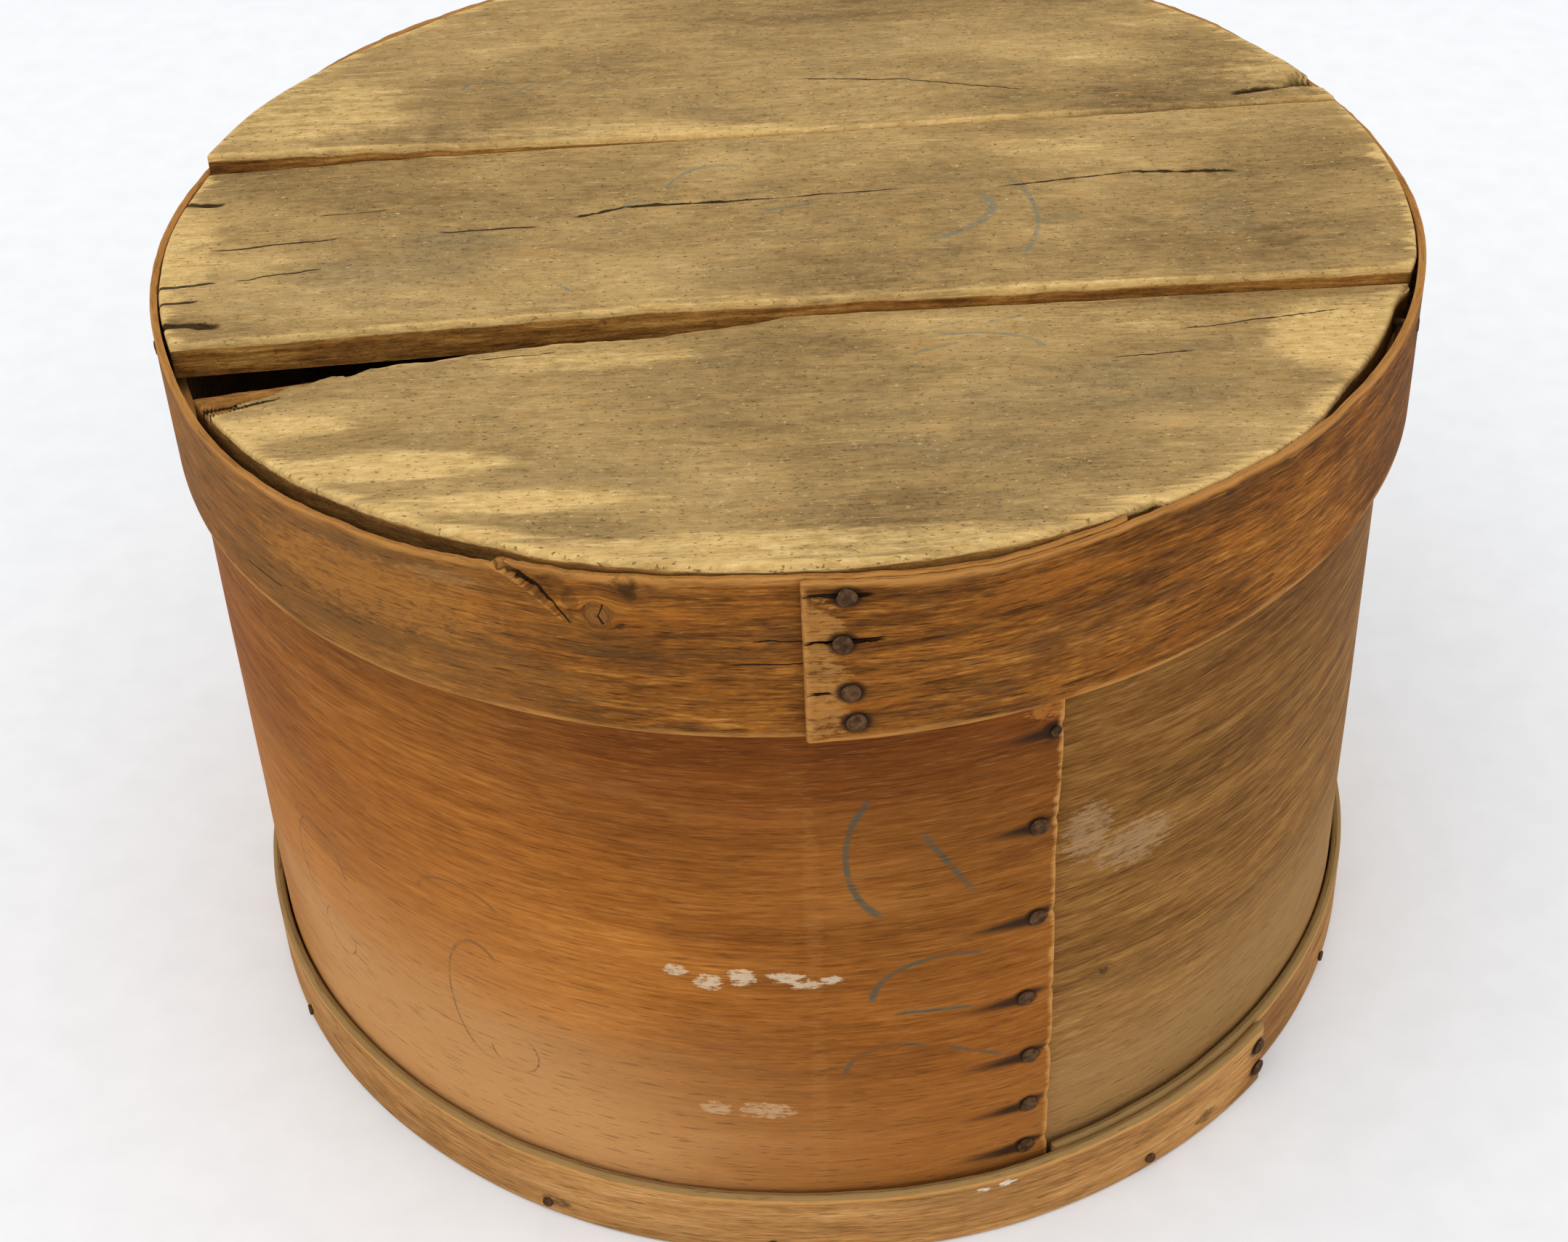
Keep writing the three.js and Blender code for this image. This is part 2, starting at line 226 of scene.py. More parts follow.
def linear(pairs, place):
    if place <= pairs[0][0]:
        return pairs[0][1]
    for (start, before), (end, value) in zip(pairs, pairs[1:]):
        if place <= end:
            return lerp(before, value, (place - start) / (end - start))
    return pairs[-1][1]


def rough2(x, y, seed=0.0):
    return noise.noise(Vector((x, y, seed)))


def spaced(length, cell, closer=()):
    # places along a length: close together near both ends and in the stretches that closer lists
    near = (0.35, 1.0, 2.0)
    places = [0.0, *near]
    last = length - near[-1]
    while places[-1] < last - 0.2:
        here = places[-1]
        step = min([cell] + [size for start, end, size in closer if start - size < here < end])
        places.append(min(here + step, last))
    return places + [length - d for d in reversed(near[:-1])] + [float(length)]


def useAlone(piece):
    bpy.ops.object.select_all(action="DESELECT")
    piece.select_set(True)
    bpy.context.view_layer.objects.active = piece


def applyModifier(piece, kind, **settings):
    useAlone(piece)
    modifier = piece.modifiers.new(kind, kind)
    for key, value in settings.items():
        setattr(modifier, key, value)
    bpy.ops.object.modifier_apply(modifier=modifier.name)


def flatSheet(name, xs, ys, thickness):
    # a flat sheet in millimetres with its face at z 0 and its back at -thickness
    bpy.ops.object.select_all(action="DESELECT")
    bpy.ops.mesh.primitive_grid_add(x_subdivisions=len(xs) - 1, y_subdivisions=len(ys) - 1, size=1)
    sheet = bpy.context.object
    sheet.name = name
    sheet.data.name = name
    for vertex in sheet.data.vertices:
        column = round((vertex.co.x + 0.5) * (len(xs) - 1))
        row = round((vertex.co.y + 0.5) * (len(ys) - 1))
        vertex.co = (xs[column], ys[row], 0)
    applyModifier(sheet, "SOLIDIFY", thickness=thickness, offset=-1)
    return sheet


def store(piece, name, kind, values):
    attribute = piece.data.attributes.new(name, kind, "POINT")
    key = "vector" if kind == "FLOAT_VECTOR" else "value"
    flat = [part for value in values for part in value] if key == "vector" else list(values)
    attribute.data.foreach_set(key, flat)


def faceOutwards(piece):
    useAlone(piece)
    bpy.ops.object.mode_set(mode="EDIT")
    bpy.ops.mesh.select_all(action="SELECT")
    bpy.ops.mesh.normals_make_consistent(inside=False)
    bpy.ops.object.mode_set(mode="OBJECT")
    bpy.ops.object.shade_smooth_by_angle(angle=math.radians(38))


def dress(piece, material, body, node):
    piece.data.materials.clear()
    piece.data.materials.append(material)
    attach(piece, body)
    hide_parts(node)


def fallBack(distance, radius):
    # how far an arris that is worn to a radius falls back, at a distance from its edge
    missing = min(max(radius - distance, 0), radius)
    return radius - math.sqrt(radius * radius - missing * missing)


def sinkAt(x, y, splits):
    # depth of the splits and dents, in millimetres, at a place on a face
    deepest = 0
    for start, end, width, depth in splits:
        length = math.dist(start, end)
        alongX, alongY = (end[0] - start[0]) / length, (end[1] - start[1]) / length
        u = (x - start[0]) * alongX + (y - start[1]) * alongY
        if u < -2 or u > length + 2:
            continue
        v = abs((y - start[1]) * alongX - (x - start[0]) * alongY)
        if v < width:
            ends = smooth(u, -0.1 * length, 0.2 * length) * (1 - smooth(u, 0.8 * length, 1.1 * length))
            deepest = max(deepest, depth * ends * (1 - smooth(v, 0.3 * width, width)))
    return deepest


wallStrip = {
    "start": -68.5, "sweep": 382.3, "way": -1, "thick": 2.8, "low": 0, "high": 252.4,
    "radii": [(24, 198.5), (75, 197), (310, 197), (358, 195.4)], "worn": 0.7,
    "cell": 4.2, "closerAlong": [(0, 12, 1.2)], "row": 3.6, "closerUp": [(20, 212, 2.2)],
    "knots": [(1227, 95.4, 1.6)],
}
hoopStrip = {
    "start": -42, "sweep": 386.2, "way": -1, "thick": 3.5, "low": 0, "high": 27.6,
    "radii": [(28, 204.5), (52, 202.7), (100, 201.2), (330, 201.2), (358, 200.7)], "worn": 1.5,
    "cell": 3, "closerAlong": [], "row": 1.4, "closerUp": [], "knots": [],
}
bandStrip = {
    "start": -90.1, "sweep": 386, "way": 1, "thick": 2.4, "low": 220.5, "high": 270.5,
    "radii": [(0, 203.9), (26, 203.8), (75, 203.6), (130, 204), (185, 202.6), (225, 202.6),
              (257, 200.6), (286, 201.3), (314, 202.4), (338, 201.2), (386, 201.2)], "worn": 0.6,
    "cell": 2.8, "closerAlong": [(0, 26, 0.9), (1176, 1246, 0.9), (1204.6, 1207.4, 0.3)], "row": 1.9,
    "closerUp": [(14.5, 17, 0.4), (30, 33, 0.4), (33, 49, 0.8)], "knots": [(1225.5, 37.6, 3.6), (1234, 47.5, 2.6)],
}
bandTopEdge = [
    (-112, 272.6), (-92, 275), (-75, 272.4), (-60, 274.6), (-40, 272.4), (-14, 269.8), (8, 267.6),
    (28, 267.8), (40, 270), (90, 270.8), (135, 270.4), (166, 268), (180, 269), (194, 269.4),
    (208, 265.6), (234, 270), (247, 272.4),
]
# how far along the crack lies at each height, both from the band's lower left corner
bandCrack = [(30, 1219), (34.5, 1216.4), (40, 1211.5), (44.2, 1207.8), (48.1, 1202.1), (51, 1194)]
crackMiddle = 1206
# splits beside the lap's nails, as start, end, half width and depth; they are also painted nearly black as shade
bandSplits = [((-2, 45.6), (19, 46.2), 0.7, 1.3), ((-2, 31.4), (22, 32.4), 0.8, 1.6), ((-1, 15.9), (7, 15.8), 0.5, 0.8)]


def wound(strip, degrees):
    return (strip["way"] * (degrees - strip["start"])) % 360


def outerAt(strip, degrees):
    return through(strip["radii"], wound(strip, degrees))


def innerAt(strip, degrees):
    turn = wound(strip, degrees)
    if turn + 360 <= strip["sweep"]:
        turn += 360
    return through(strip["radii"], turn) - strip["thick"]


def bandTop(degrees):
    return through(bandTopEdge, (degrees + 112) % 360 - 112)


def stripLength(strip, degrees):
    return math.radians(degrees) * strip["radii"][0][1]


def aroundKnots(along, up, knots):
    # fibres part round a knot as water does round a stone, and run in rings inside it
    for knotX, knotY, size in knots:
        dx, dy = along - knotX, up - knotY
        far = math.hypot(dx, dy * 1.1)
        if far < size:
            return knotX + dx * 0.3, knotY + far * 1.6
        if far < 9 * size:
            up -= dy * (size / far) ** 2 * 1.15 * (1 - smooth(far, 4 * size, 9 * size))
    return along, up


def leanToCrack(along, up):
    # bends the columns of the band so that one of them lies on the crack
    near = smooth(along, 1150, 1190) * (1 - smooth(along, 1222, 1262))
    return along + near * (linear(bandCrack, up) + 0.5 * rough2(up / 2.2, 0.5) - crackMiddle)


def woundPiece(name, strip, shape):
    height = strip["high"] - strip["low"]
    length = stripLength(strip, strip["sweep"])
    xs = spaced(length, strip["cell"], strip["closerAlong"])
    ys = spaced(height, strip["row"], strip["closerUp"])
    piece = flatSheet(name, xs, ys, strip["thick"])
    grain, figure, rims = [], [], []
    for vertex in piece.data.vertices:
        along, up, depth = vertex.co.x, vertex.co.y, -vertex.co.z
        side = along - crackMiddle
        if strip is bandStrip:
            along = leanToCrack(along, up)
        rim = min(up, height - up, along, length - along)
        grain.append((along * mm, up * mm, depth * mm))
        bentX, bentY = aroundKnots(along, up, strip["knots"])
        bentY += 3 * rough2(along / 160, up / 60, 5.5) + 0.6 * rough2(along / 30, up / 9, 2.5)
        figure.append((bentX * mm, bentY * mm, depth * mm))
        rims.append(rim * mm)
        face = 1 if depth < strip["thick"] / 2 else -1
        out = 0.22 * rough2(along / 70, up / 45, 3.1) - depth - face * fallBack(rim, strip["worn"])
        moved, z, lifted = shape(along, up, depth, side)
        turn = math.degrees(moved / strip["radii"][0][1])
        angle = math.radians(strip["start"] + strip["way"] * turn)
        at = through(strip["radii"], turn) + out + lifted
        vertex.co = Vector((at * math.cos(angle), at * math.sin(angle), z)) * mm
    store(piece, "grain", "FLOAT_VECTOR", grain)
    store(piece, "figure", "FLOAT_VECTOR", figure)
    store(piece, "rim", "FLOAT", rims)
    faceOutwards(piece)
    return piece


def wallShape(along, up, depth, side):
    # the lap's end wavers and is nicked beside each nail
    end = 1 - smooth(along, 0, 14)
    if end > 0:
        wave = 0.9 * rough2(0.3, up / 38, 8) + 0.35 * rough2(0.7, up / 9, 4) + 0.5
        nick = max(1 - smooth(abs(up - z - 0.6), 0, 3) for degrees, z, head in wallNails)
        along += end * (max(wave, 0) + 0.9 * nick)
    return along, up, 0


def hoopShape(along, up, depth, side):
    ragged = 0.45 * rough2(along / 21, 1.7) + 0.18 * rough2(along / 5, 4.7)
    return along, up + ragged * smooth(up, 21, 27.6), 0


def bandShape(along, up, depth, side):
    height = bandStrip["high"] - bandStrip["low"]
    degrees = bandStrip["start"] + math.degrees(along / bandStrip["radii"][0][1])
    top = bandTop(degrees)
    ragged = noise.fractal(Vector((along / 10, 5.1, 0)), 0.6, 2, 3)
    z = lerp(bandStrip["low"], top, up / height)
    z += 0.45 * ragged * smooth(up, height - 6, height)
    z += 0.35 * rough2(along / 28, 9.1) * (1 - smooth(up, 0, 6))
    turned = (degrees + 180) % 360 - 180
    # the front left stretch has sprung outwards, as far as the crack
    lifted = 0
    if -162 < turned < -95 and along > 600:
        sprung = smooth(turned, -160, -128) * (1 - smooth(side, -0.4, 0.4))
        lifted = 2.2 * sprung * smooth(z, 252, 269)
        sunk = smooth(side, -0.2, 0.6) * (1 - smooth(side, 3, 22))
        lifted -= 0.7 * sunk * smooth(z, 254, 266)
    if depth < 1:
        for knotX, knotY, size in bandStrip["knots"]:
            far = math.hypot(along - knotX, up - knotY) / size
            lifted += 0.55 * (1 - smooth(far, 0.55, 1.25)) - 0.25 * (1 - smooth(abs(far - 1.25), 0, 0.4))
        if along < 30:
            lifted -= sinkAt(along, up, bandSplits)
            end = 1 - smooth(along, 0, 8)
            along += end * (0.5 * rough2(3.3, up / 6) + 0.25)
    if along < 8:
        lifted += 0.5 * (1 - smooth(along, 0, 8)) * (1 - smooth(up, 4, 20))
    return along, z, lifted


lidSeams = {
    "backLevel": 54.5, "backSlope": 0.035, "frontLevel": -54.2, "frontSlope": 0.012, "gap": 0.5,
    "top": 270.3, "thick": 12, "frontDrop": 5.3, "tilt": 0.086, "riseLeft": 5, "riseRight": 1.2,
}
brokenEdge = [(-188, -88), (-176, -85.5), (-168, -84), (-147, -79.5), (-133, -77), (-105, -73),
              (-90, -69), (-71, -66), (-41, -65), (-8, -58), (0, -54.5)]
middleBoard = {
    "name": "lidMiddle", "node": "lid_board_middle", "byRows": True, "seed": 1.3,
    "closerAcross": [(0, 6, 0.8), (57, 73, 0.8), (77, 83, 0.7)], "closerAlong": [(0, 30, 1.2), (362, 396, 1.2)],
    # start, end, half width and depth of each split
    "splits": [((-66, 3.6), (-50, 9.2), 1.0, 1.1), ((-51, 9), (-14, 9.2), 0.9, 1.0), ((-110, -2), (-78, -1.5), 0.7, 0.5),
               ((72, 11), (118, 17), 0.5, 0.3), ((114, 17.2), (150, 14), 1.0, 0.9), ((-199, -50.5), (-173, -53.5), 2.4, 2.2),
               ((-201, 26), (-183, 25), 2.0, 1.8), ((-182, -8), (-142, -3.5), 0.6, 0.4),
               ((-172, -27), (-146, -22), 0.5, 0.4), ((-199, -30), (-178, -28), 0.8, 0.6),
               ((-199, -40), (-182, -38.5), 0.7, 0.6), ((-20, 9), (40, 13), 0.4, 0.3), ((-150, 12), (-128, 14), 0.4, 0.3)],
    "bareRim": 3.5, "bare": [((-192, -10), (16, 44), 0.75), ((100, 38), (70, 7), 0.35), ((30, -51), (150, 2.5), 0.5)],
    "stains": [((-125, -25), (50, 18), 0.9), ((-104, -9), (32, 13), 0.85),
               ((141, -14), (15, 22), 0.75), ((88, -12), (14, 5), 0.7),
               ((-160, -40), (30, 10), 0.5), ((60, 22), (40, 14), 0.4), ((-30, -34), (60, 12), 0.4)],
    "crayon": [((-72, -37), (-66, -43), 1.0), ((-52, 8), (-44, 14), 1.1), ((-6, 2), (14, 6), 1.2)],
    "arcs": [((66, -8), (16, 30), 1.2, (1, 0, 0.6)), ((8, -2), (60, 26), 1.2, (1, -0.3, 0.84)),
             ((-20, 12), (18, 22), 1.0, (-0.4, 1, 0.75))],
}
backBoard = {
    "name": "lidBack", "node": "lid_board_back", "byRows": False, "seed": 7.1,
    "closerAcross": [(0, 24, 1.1)], "closerAlong": [(320, 384, 1.2)],
    "splits": [((157, 67), (184, 73), 2.2, 3.0), ((177, 74), (190, 74), 4.5, 7.0), ((10, 93), (48, 89), 0.5, 0.3),
               ((46, 89), (86, 77), 0.4, 0.3)],
    "bareRim": 5, "bare": [((-160, 80), (55, 40), 0.75), ((-60, 58), (130, 7), 0.5), ((168, 80), (40, 30), 0.6),
                           ((60, 60), (130, 4), 0.35)],
    "stains": [((40, 120), (70, 26), 0.5), ((-20, 84), (60, 9), 0.35), ((84, 96), (34, 12), 0.5)],
    "crayon": [((-92, 88), (-84, 97), 1.0), ((-78, 88), (-70, 98), 1.0), ((-64, 90), (-58, 97), 0.9)],
    "arcs": [((-100, 92), (9, 7), 0.9, (0, 1, 0.1))],
}
frontBoard = {
    "name": "lidFront", "node": "lid_board_front", "byRows": False, "seed": 4.4,
    "closerAcross": [], "closerAlong": [(0, 60, 1.2), (330, 384, 1.4)],
    "splits": [((-186, -98), (-158, -90.5), 1.3, 1.6), ((-176, -104), (-150, -93), 0.9, 1.2),
               ((-92, -75), (-70, -72), 0.4, 0.3), ((118, -76), (168, -67), 0.5, 0.3), ((96, -92), (120, -90), 0.4, 0.3)],
    "bareRim": 6, "bare": [((-150, -112), (36, 10), 0.95), ((-118, -137), (52, 12), 1.15), ((-78, -160), (52, 9), 0.85),
                           ((168, -84), (36, 36), 1.1), ((-60, -78), (46, 12), 0.6),
                           ((120, -68), (60, 9), 0.45), ((0, -188), (110, 12), 0.85)],
    "stains": [((62, -122), (58, 28), 0.6), ((95, -112), (50, 30), 0.75),
               ((45, -138), (40, 22), 0.65), ((-60, -150), (50, 18), 0.55),
               ((-20, -100), (60, 22), 0.35), ((60, -84), (50, 10), 0.3)],
    "crayon": [((42, -68), (54, -64), 1.0), ((60, -66), (72, -62), 1.1), ((36, -84), (50, -78), 1.2)],
    "arcs": [((54, -84), (22, 12), 1.0, (0.6, 1, 0.7))],
}


def backSeam(x):
    return lidSeams["backLevel"] + lidSeams["backSlope"] * x


def frontSeam(x):
    if x < -41:
        return lerp(-54.4, -64, min((-41 - x) / 147, 1.2))
    return lidSeams["frontLevel"] + lidSeams["frontSlope"] * x


def frontBoardEdge(x):
    if x > 0:
        return frontSeam(x) - lidSeams["gap"] / 2
    ragged = noise.fractal(Vector((x / 9, 2.3, 0)), 0.7, 2, 3)
    return linear(brokenEdge, x) + 0.9 * ragged * smooth(-x, 0, 12)


def lidRim(degrees):
    near = min(innerAt(bandStrip, degrees + step) for step in (-3, 0, 3))
    turned = (degrees + 180) % 360 - 180
    sprung = smooth(turned, -46, -34) * (1 - smooth(turned, -20, -12))
    opened = smooth(turned, -172, -150) * (1 - smooth(turned, -118, -108))
    return near - 0.5 - 4.6 * sprung - 1.5 * opened


lidRims = [lidRim(i / 4) for i in range(1441)]


def rimAt(x, y):
    place = math.degrees(math.atan2(y, x)) % 360 * 4
    low = int(place)
    return lerp(lidRims[low], lidRims[min(low + 1, 1440)], place - low)


def rimCrossing(level, side):
    # where a line y = level(x) meets the rim on the left (-1) or the right (1)
    x = side * 185
    for _ in range(10):
        y = level(x)
        x = side * math.sqrt(max(rimAt(x, y) ** 2 - y * y, 1))
    return x


def rimLevel(x, side):
    # y of the rim above (1) or below (-1) the middle at x
    y = side * 100
    for _ in range(10):
        y = side * math.sqrt(max(rimAt(x, y) ** 2 - x * x, 0.01))
    return y


def lidBoard(board, lowLine, highLine, lift):
    # a board between two lines, laid out by rows that end on the rim, or by columns between them
    width = highLine(0) - lowLine(0)
    length = 396
    xs = spaced(length, 1.9, board["closerAlong"])
    ys = spaced(width, 1.9, board["closerAcross"])
    piece = flatSheet(board["name"], xs, ys, lidSeams["thick"])
    grain, figure, rims, seams, torn = [], [], [], [], []
    straight = highLine if board is frontBoard else lowLine
    ends = {}
    lines = {}
    seed = board["seed"]
    for vertex in piece.data.vertices:
        u, v, depth = vertex.co.x / length, vertex.co.y / width, -vertex.co.z
        key = round(v, 5) if board["byRows"] else 0
        if key not in ends:
            level = (lambda x, v=v: lerp(lowLine(x), highLine(x), v)) if board["byRows"] else straight
            trim = 0 if board["byRows"] else 0.4
            ends[key] = (rimCrossing(level, -1) + trim, rimCrossing(level, 1) - trim)
        x = lerp(*ends[key], u)
        if board["byRows"] or u not in lines:
            lines[u] = (lowLine(x), highLine(x))
        low, high = lines[u]
        y = lerp(low, high, v)
        toRim = max(rimAt(x, y) - math.hypot(x, y), 0)
        toLow = 99 if board is frontBoard else max(y - low, 0)
        toHigh = 99 if board is backBoard else max(high - y, 0)
        toSeam = min(toLow, toHigh)
        z = lidSeams["top"] + lift(x, y)
        face = depth < 6
        if face:
            cup = 0.3 * rough2(x / 60, y / 30, 7.7) + 0.12 * rough2(x / 16, y / 5, 1.7) + 0.05 * rough2(x / 7, y / 1.8, 3)
            radius = 1.3 + 0.7 * rough2(x / 12, y / 12, 2)
            z += cup - fallBack(min(toRim, toSeam), radius) - sinkAt(x, y, board["splits"])
        else:
            z -= lidSeams["thick"]
        vertex.co = Vector((x, y, z)) * mm
        grain.append((x * mm, y * mm, depth * mm))
        bent = y + 7 * rough2(x / 150, y / 70, seed) + 1.2 * rough2(x / 40, y / 12, seed + 3)
        figure.append((x * mm, bent * mm, depth * mm))
        rims.append(toRim * mm)
        seams.append(toSeam * mm)
        torn.append(tornAt(x, y) if board is frontBoard else 0)
    store(piece, "grain", "FLOAT_VECTOR", grain)
    store(piece, "figure", "FLOAT_VECTOR", figure)
    store(piece, "rim", "FLOAT", rims)
    store(piece, "seam", "FLOAT", seams)
    store(piece, "torn", "FLOAT", torn)
    faceOutwards(piece)
    return piece


def tornAt(x, y):
    # the splintered left end: its upper layer has broken off along the edge
    if x > -120:
        return 0
    toEdge = linear(brokenEdge, x) - y
    width = 13 * smooth(-x, 126, 172) + 2 + 4 * rough2(x / 9, 0, 4)
    return smooth(-x, 124, 134) * (1 - smooth(toEdge, width - 0.8, width))


def frontLift(x, y):
    level = -lidSeams["frontDrop"] + lidSeams["tilt"] * (lidSeams["frontLevel"] - y)
    return level - 2.6 * tornAt(x, y)


def middleLift(x, y):
    sunk = smooth(-x, 120, 195) * smooth(y, 0, 45)
    return -1.6 * sunk


def backLift(x, y):
    rise = lerp(lidSeams["riseRight"], lidSeams["riseLeft"], smooth(-x, -20, 190))
    return lerp(0.6, rise, 1 - smooth(y, 60, 150))


baseSlope = math.tan(math.radians(8))
baseBoards = [("baseFront", "bottom_board_front", -230, -63), ("baseMiddle", "bottom_board_middle", -62.5, 58),
              ("baseBack", "bottom_board_back", 58.5, 230)]


def baseCrossing(level, side):
    x = side * 180
    for _ in range(6):
        y = level(x)
        degrees = math.degrees(math.atan2(y, x))
        radius = min(innerAt(wallStrip, degrees + step) for step in (-3, 0, 3)) - 0.5
        x = side * math.sqrt(max(radius * radius - y * y, 1))
    return x


def baseEdge(x, side):
    y = side * math.sqrt(max(193 * 193 - x * x, 1))
    degrees = math.degrees(math.atan2(y, x))
    radius = min(innerAt(wallStrip, degrees + step) for step in (-3, 0, 3)) - 0.5
    return side * math.sqrt(max(radius * radius - x * x, 0.01))


def baseBoard(name, low, high):
    length = 380
    outer = -1 if low < -150 else 1 if high > 150 else 0
    piece = flatSheet(name, spaced(length, 4.5), spaced(high - low, 4.5), 12.6)
    grain, rims = [], []
    inner = high if outer < 0 else low
    seamEnds = [baseCrossing(lambda x: inner + baseSlope * x, side) - 0.4 * side for side in (-1, 1)]
    rows = {}
    columns = {}
    for vertex in piece.data.vertices:
        u, v, depth = vertex.co.x / length, vertex.co.y / (high - low), -vertex.co.z
        distance = min(vertex.co.y, high - low - vertex.co.y, vertex.co.x, length - vertex.co.x)
        if outer:
            x = lerp(*seamEnds, u)
            if u not in columns:
                columns[u] = sorted((baseEdge(x, outer), inner + baseSlope * x))
            y = lerp(*columns[u], v)
        else:
            if v not in rows:
                start = lerp(low, high, v)
                rows[v] = [baseCrossing(lambda x: start + baseSlope * x, side) for side in (-1, 1)]
            x = lerp(*rows[v], u)
            y = lerp(low, high, v) + baseSlope * x
        wear = fallBack(distance, 1.2)
        z = 12.9 - depth + (wear if depth > 6 else -wear) + 0.15 * rough2(x / 40, y / 12)
        vertex.co = Vector((x, y, max(z, 0.05))) * mm
        grain.append((x * mm, y * mm, depth * mm))
        rims.append(distance * mm)
    store(piece, "grain", "FLOAT_VECTOR", grain)
    store(piece, "rim", "FLOAT", rims)
    faceOutwards(piece)
    return piece


nailSize = {"shank": 1.1}
# angle and height of each nail, and what differs between them
wallNails = [(-69.4, 205.7, 1.7), (-70.6, 170.8, 2.9), (-70.5, 133.9, 2.9), (-71.4, 100.5, 2.9),
             (-70.8, 74.2, 2.9), (-70.7, 51.2, 2.9), (-71, 31.8, 2.9)]
hoopNails = [(-43.1, 19.8, True), (-42.9, 8.6, False)]
baseNails = [-117, -95, -58, -25, 12, 48, 84, 120, 156, -154]
bandNails = [(-86.7, 270.2, 16), (-87.1, 254.6, 5), (-86.6, 237.7, 5), (-86.2, 227.3, 5)]
rimNails = [(-104.4, 269.2, -1.6), (-165, 262.6, -0.8), (173, 262.4, 0.8), (140, 263.6, 0), (101, 263.8, 0),
            (62, 263.8, 0), (34, 263.2, 0), (-12.5, 263.4, -1.5), (-19.5, 259.6, -0.9)]


def nailPiece(name, nail, seed):
    # a sphere's rings become a battered head, a shank and, if it is clinched, a tip bent along the wood
    head, shank, depth = nail["head"], nailSize["shank"], nail["depth"]
    steps = 8 if nail["clinched"] else 3
    tail = [(shank * (0.45 if i == steps else 1), depth * i / steps) for i in range(1, steps + 1)]
    profile = [(0, -0.95), (head * 0.5, -0.93), (head * 0.84, -0.84), (head * 0.97, -0.6), (head, -0.3),
               (head * 0.94, 0), (shank, 0.05), *tail, (0, depth + 0.2)]
    if nail["clinched"]:
        profile = profile[:-1] + [(shank * 0.9, depth + 3), (shank * 0.6, depth + 6), (0, depth + 7)]
    bpy.ops.object.select_all(action="DESELECT")
    bpy.ops.mesh.primitive_uv_sphere_add(segments=16, ring_count=len(profile) - 1, radius=1)
    piece = bpy.context.object
    piece.name = name
    piece.data.name = name
    angle = math.radians(nail["degrees"])
    out = Vector((math.cos(angle), math.sin(angle), 0))
    side = Vector((-math.sin(angle), math.cos(angle), 0))
    up = Vector((0, 0, 1))
    bendWay = side * math.cos(nail["spin"]) + up * math.sin(nail["spin"])
    acrossWay = up * math.cos(nail["spin"]) - side * math.sin(nail["spin"])
    lean = 0.1 * rough2(seed * 3.3, 0.5)
    for vertex in piece.data.vertices:
        ring = round(math.acos(max(-1, min(1, vertex.co.z))) / math.pi * (len(profile) - 1))
        radius, sunk = profile[ring]
        around = math.atan2(vertex.co.y, vertex.co.x)
        if sunk < 0.02:
            radius *= 1 + 0.16 * rough2(math.cos(around) * 0.9, math.sin(around) * 0.9, seed * 5.1)
            sunk += 0.22 * rough2(math.cos(around) * radius / 2, math.sin(around) * radius / 2, seed)
            sunk = min(sunk + lean * radius * math.cos(around), 0.05)
        turned = 0
        centre = -out * sunk
        if nail["clinched"] and sunk > depth - 2:
            turned = min((sunk - depth + 2) / 2.4, 1) * math.pi / 2
            centre = bendWay * (1.5 * (1 - math.cos(turned))) - out * (depth - 2 + 1.5 * math.sin(turned))
            centre += bendWay * max(sunk - depth - 0.4, 0)
        wide = bendWay * math.cos(turned) + out * math.sin(turned)
        place = centre + wide * (radius * math.cos(around)) + acrossWay * (radius * math.sin(around))
        vertex.co = (out * nail["seat"] + up * nail["z"] + place) * mm
    faceOutwards(piece)
    return piece


def nailAt(strip, degrees, z, depth, head=2.9, clinched=False, spin=0, out=0):
    seat = outerAt(strip, degrees) + 0.3 + out
    return {"degrees": degrees, "z": z, "seat": seat, "depth": depth + out, "head": head,
            "clinched": clinched, "spin": spin}


def throughWall(strip, degrees):
    return outerAt(strip, degrees) - innerAt(wallStrip, degrees) + 0.3


def allNails():
    nails = []
    for i, (degrees, z, head) in enumerate(wallNails):
        depth = throughWall(wallStrip, degrees) + 2
        nails.append((f"wall_nail_{i + 1}", "box", nailAt(wallStrip, degrees, z, depth, head, True, 1.57 + i)))
    sunk = nailAt(wallStrip, -71.2, 238, throughWall(wallStrip, -71.2) + 0.6, 1.1, True, 0, -1.4)
    nails.append(("wall_nail_8", "box", sunk))
    for i, (degrees, z, clinched) in enumerate(hoopNails):
        depth = throughWall(hoopStrip, degrees) + (2 if clinched else 10)
        nails.append((f"hoop_nail_{i + 1}", "box", nailAt(hoopStrip, degrees, z, depth, 2.9, clinched, -1.57)))
    for i, degrees in enumerate(baseNails):
        depth = throughWall(hoopStrip, degrees) + 11
        nails.append((f"bottom_nail_{i + 1}", "box", nailAt(hoopStrip, degrees, 5.2, depth, 1.9)))
    for i, (degrees, z, depth) in enumerate(bandNails):
        nails.append((f"band_nail_{i + 1}", "lid", nailAt(bandStrip, degrees, z, depth)))
    for i, (degrees, z, out) in enumerate(rimNails):
        nails.append((f"rim_nail_{i + 1}", "lid", nailAt(bandStrip, degrees, z, 17, 2.4, out=out)))
    return nails


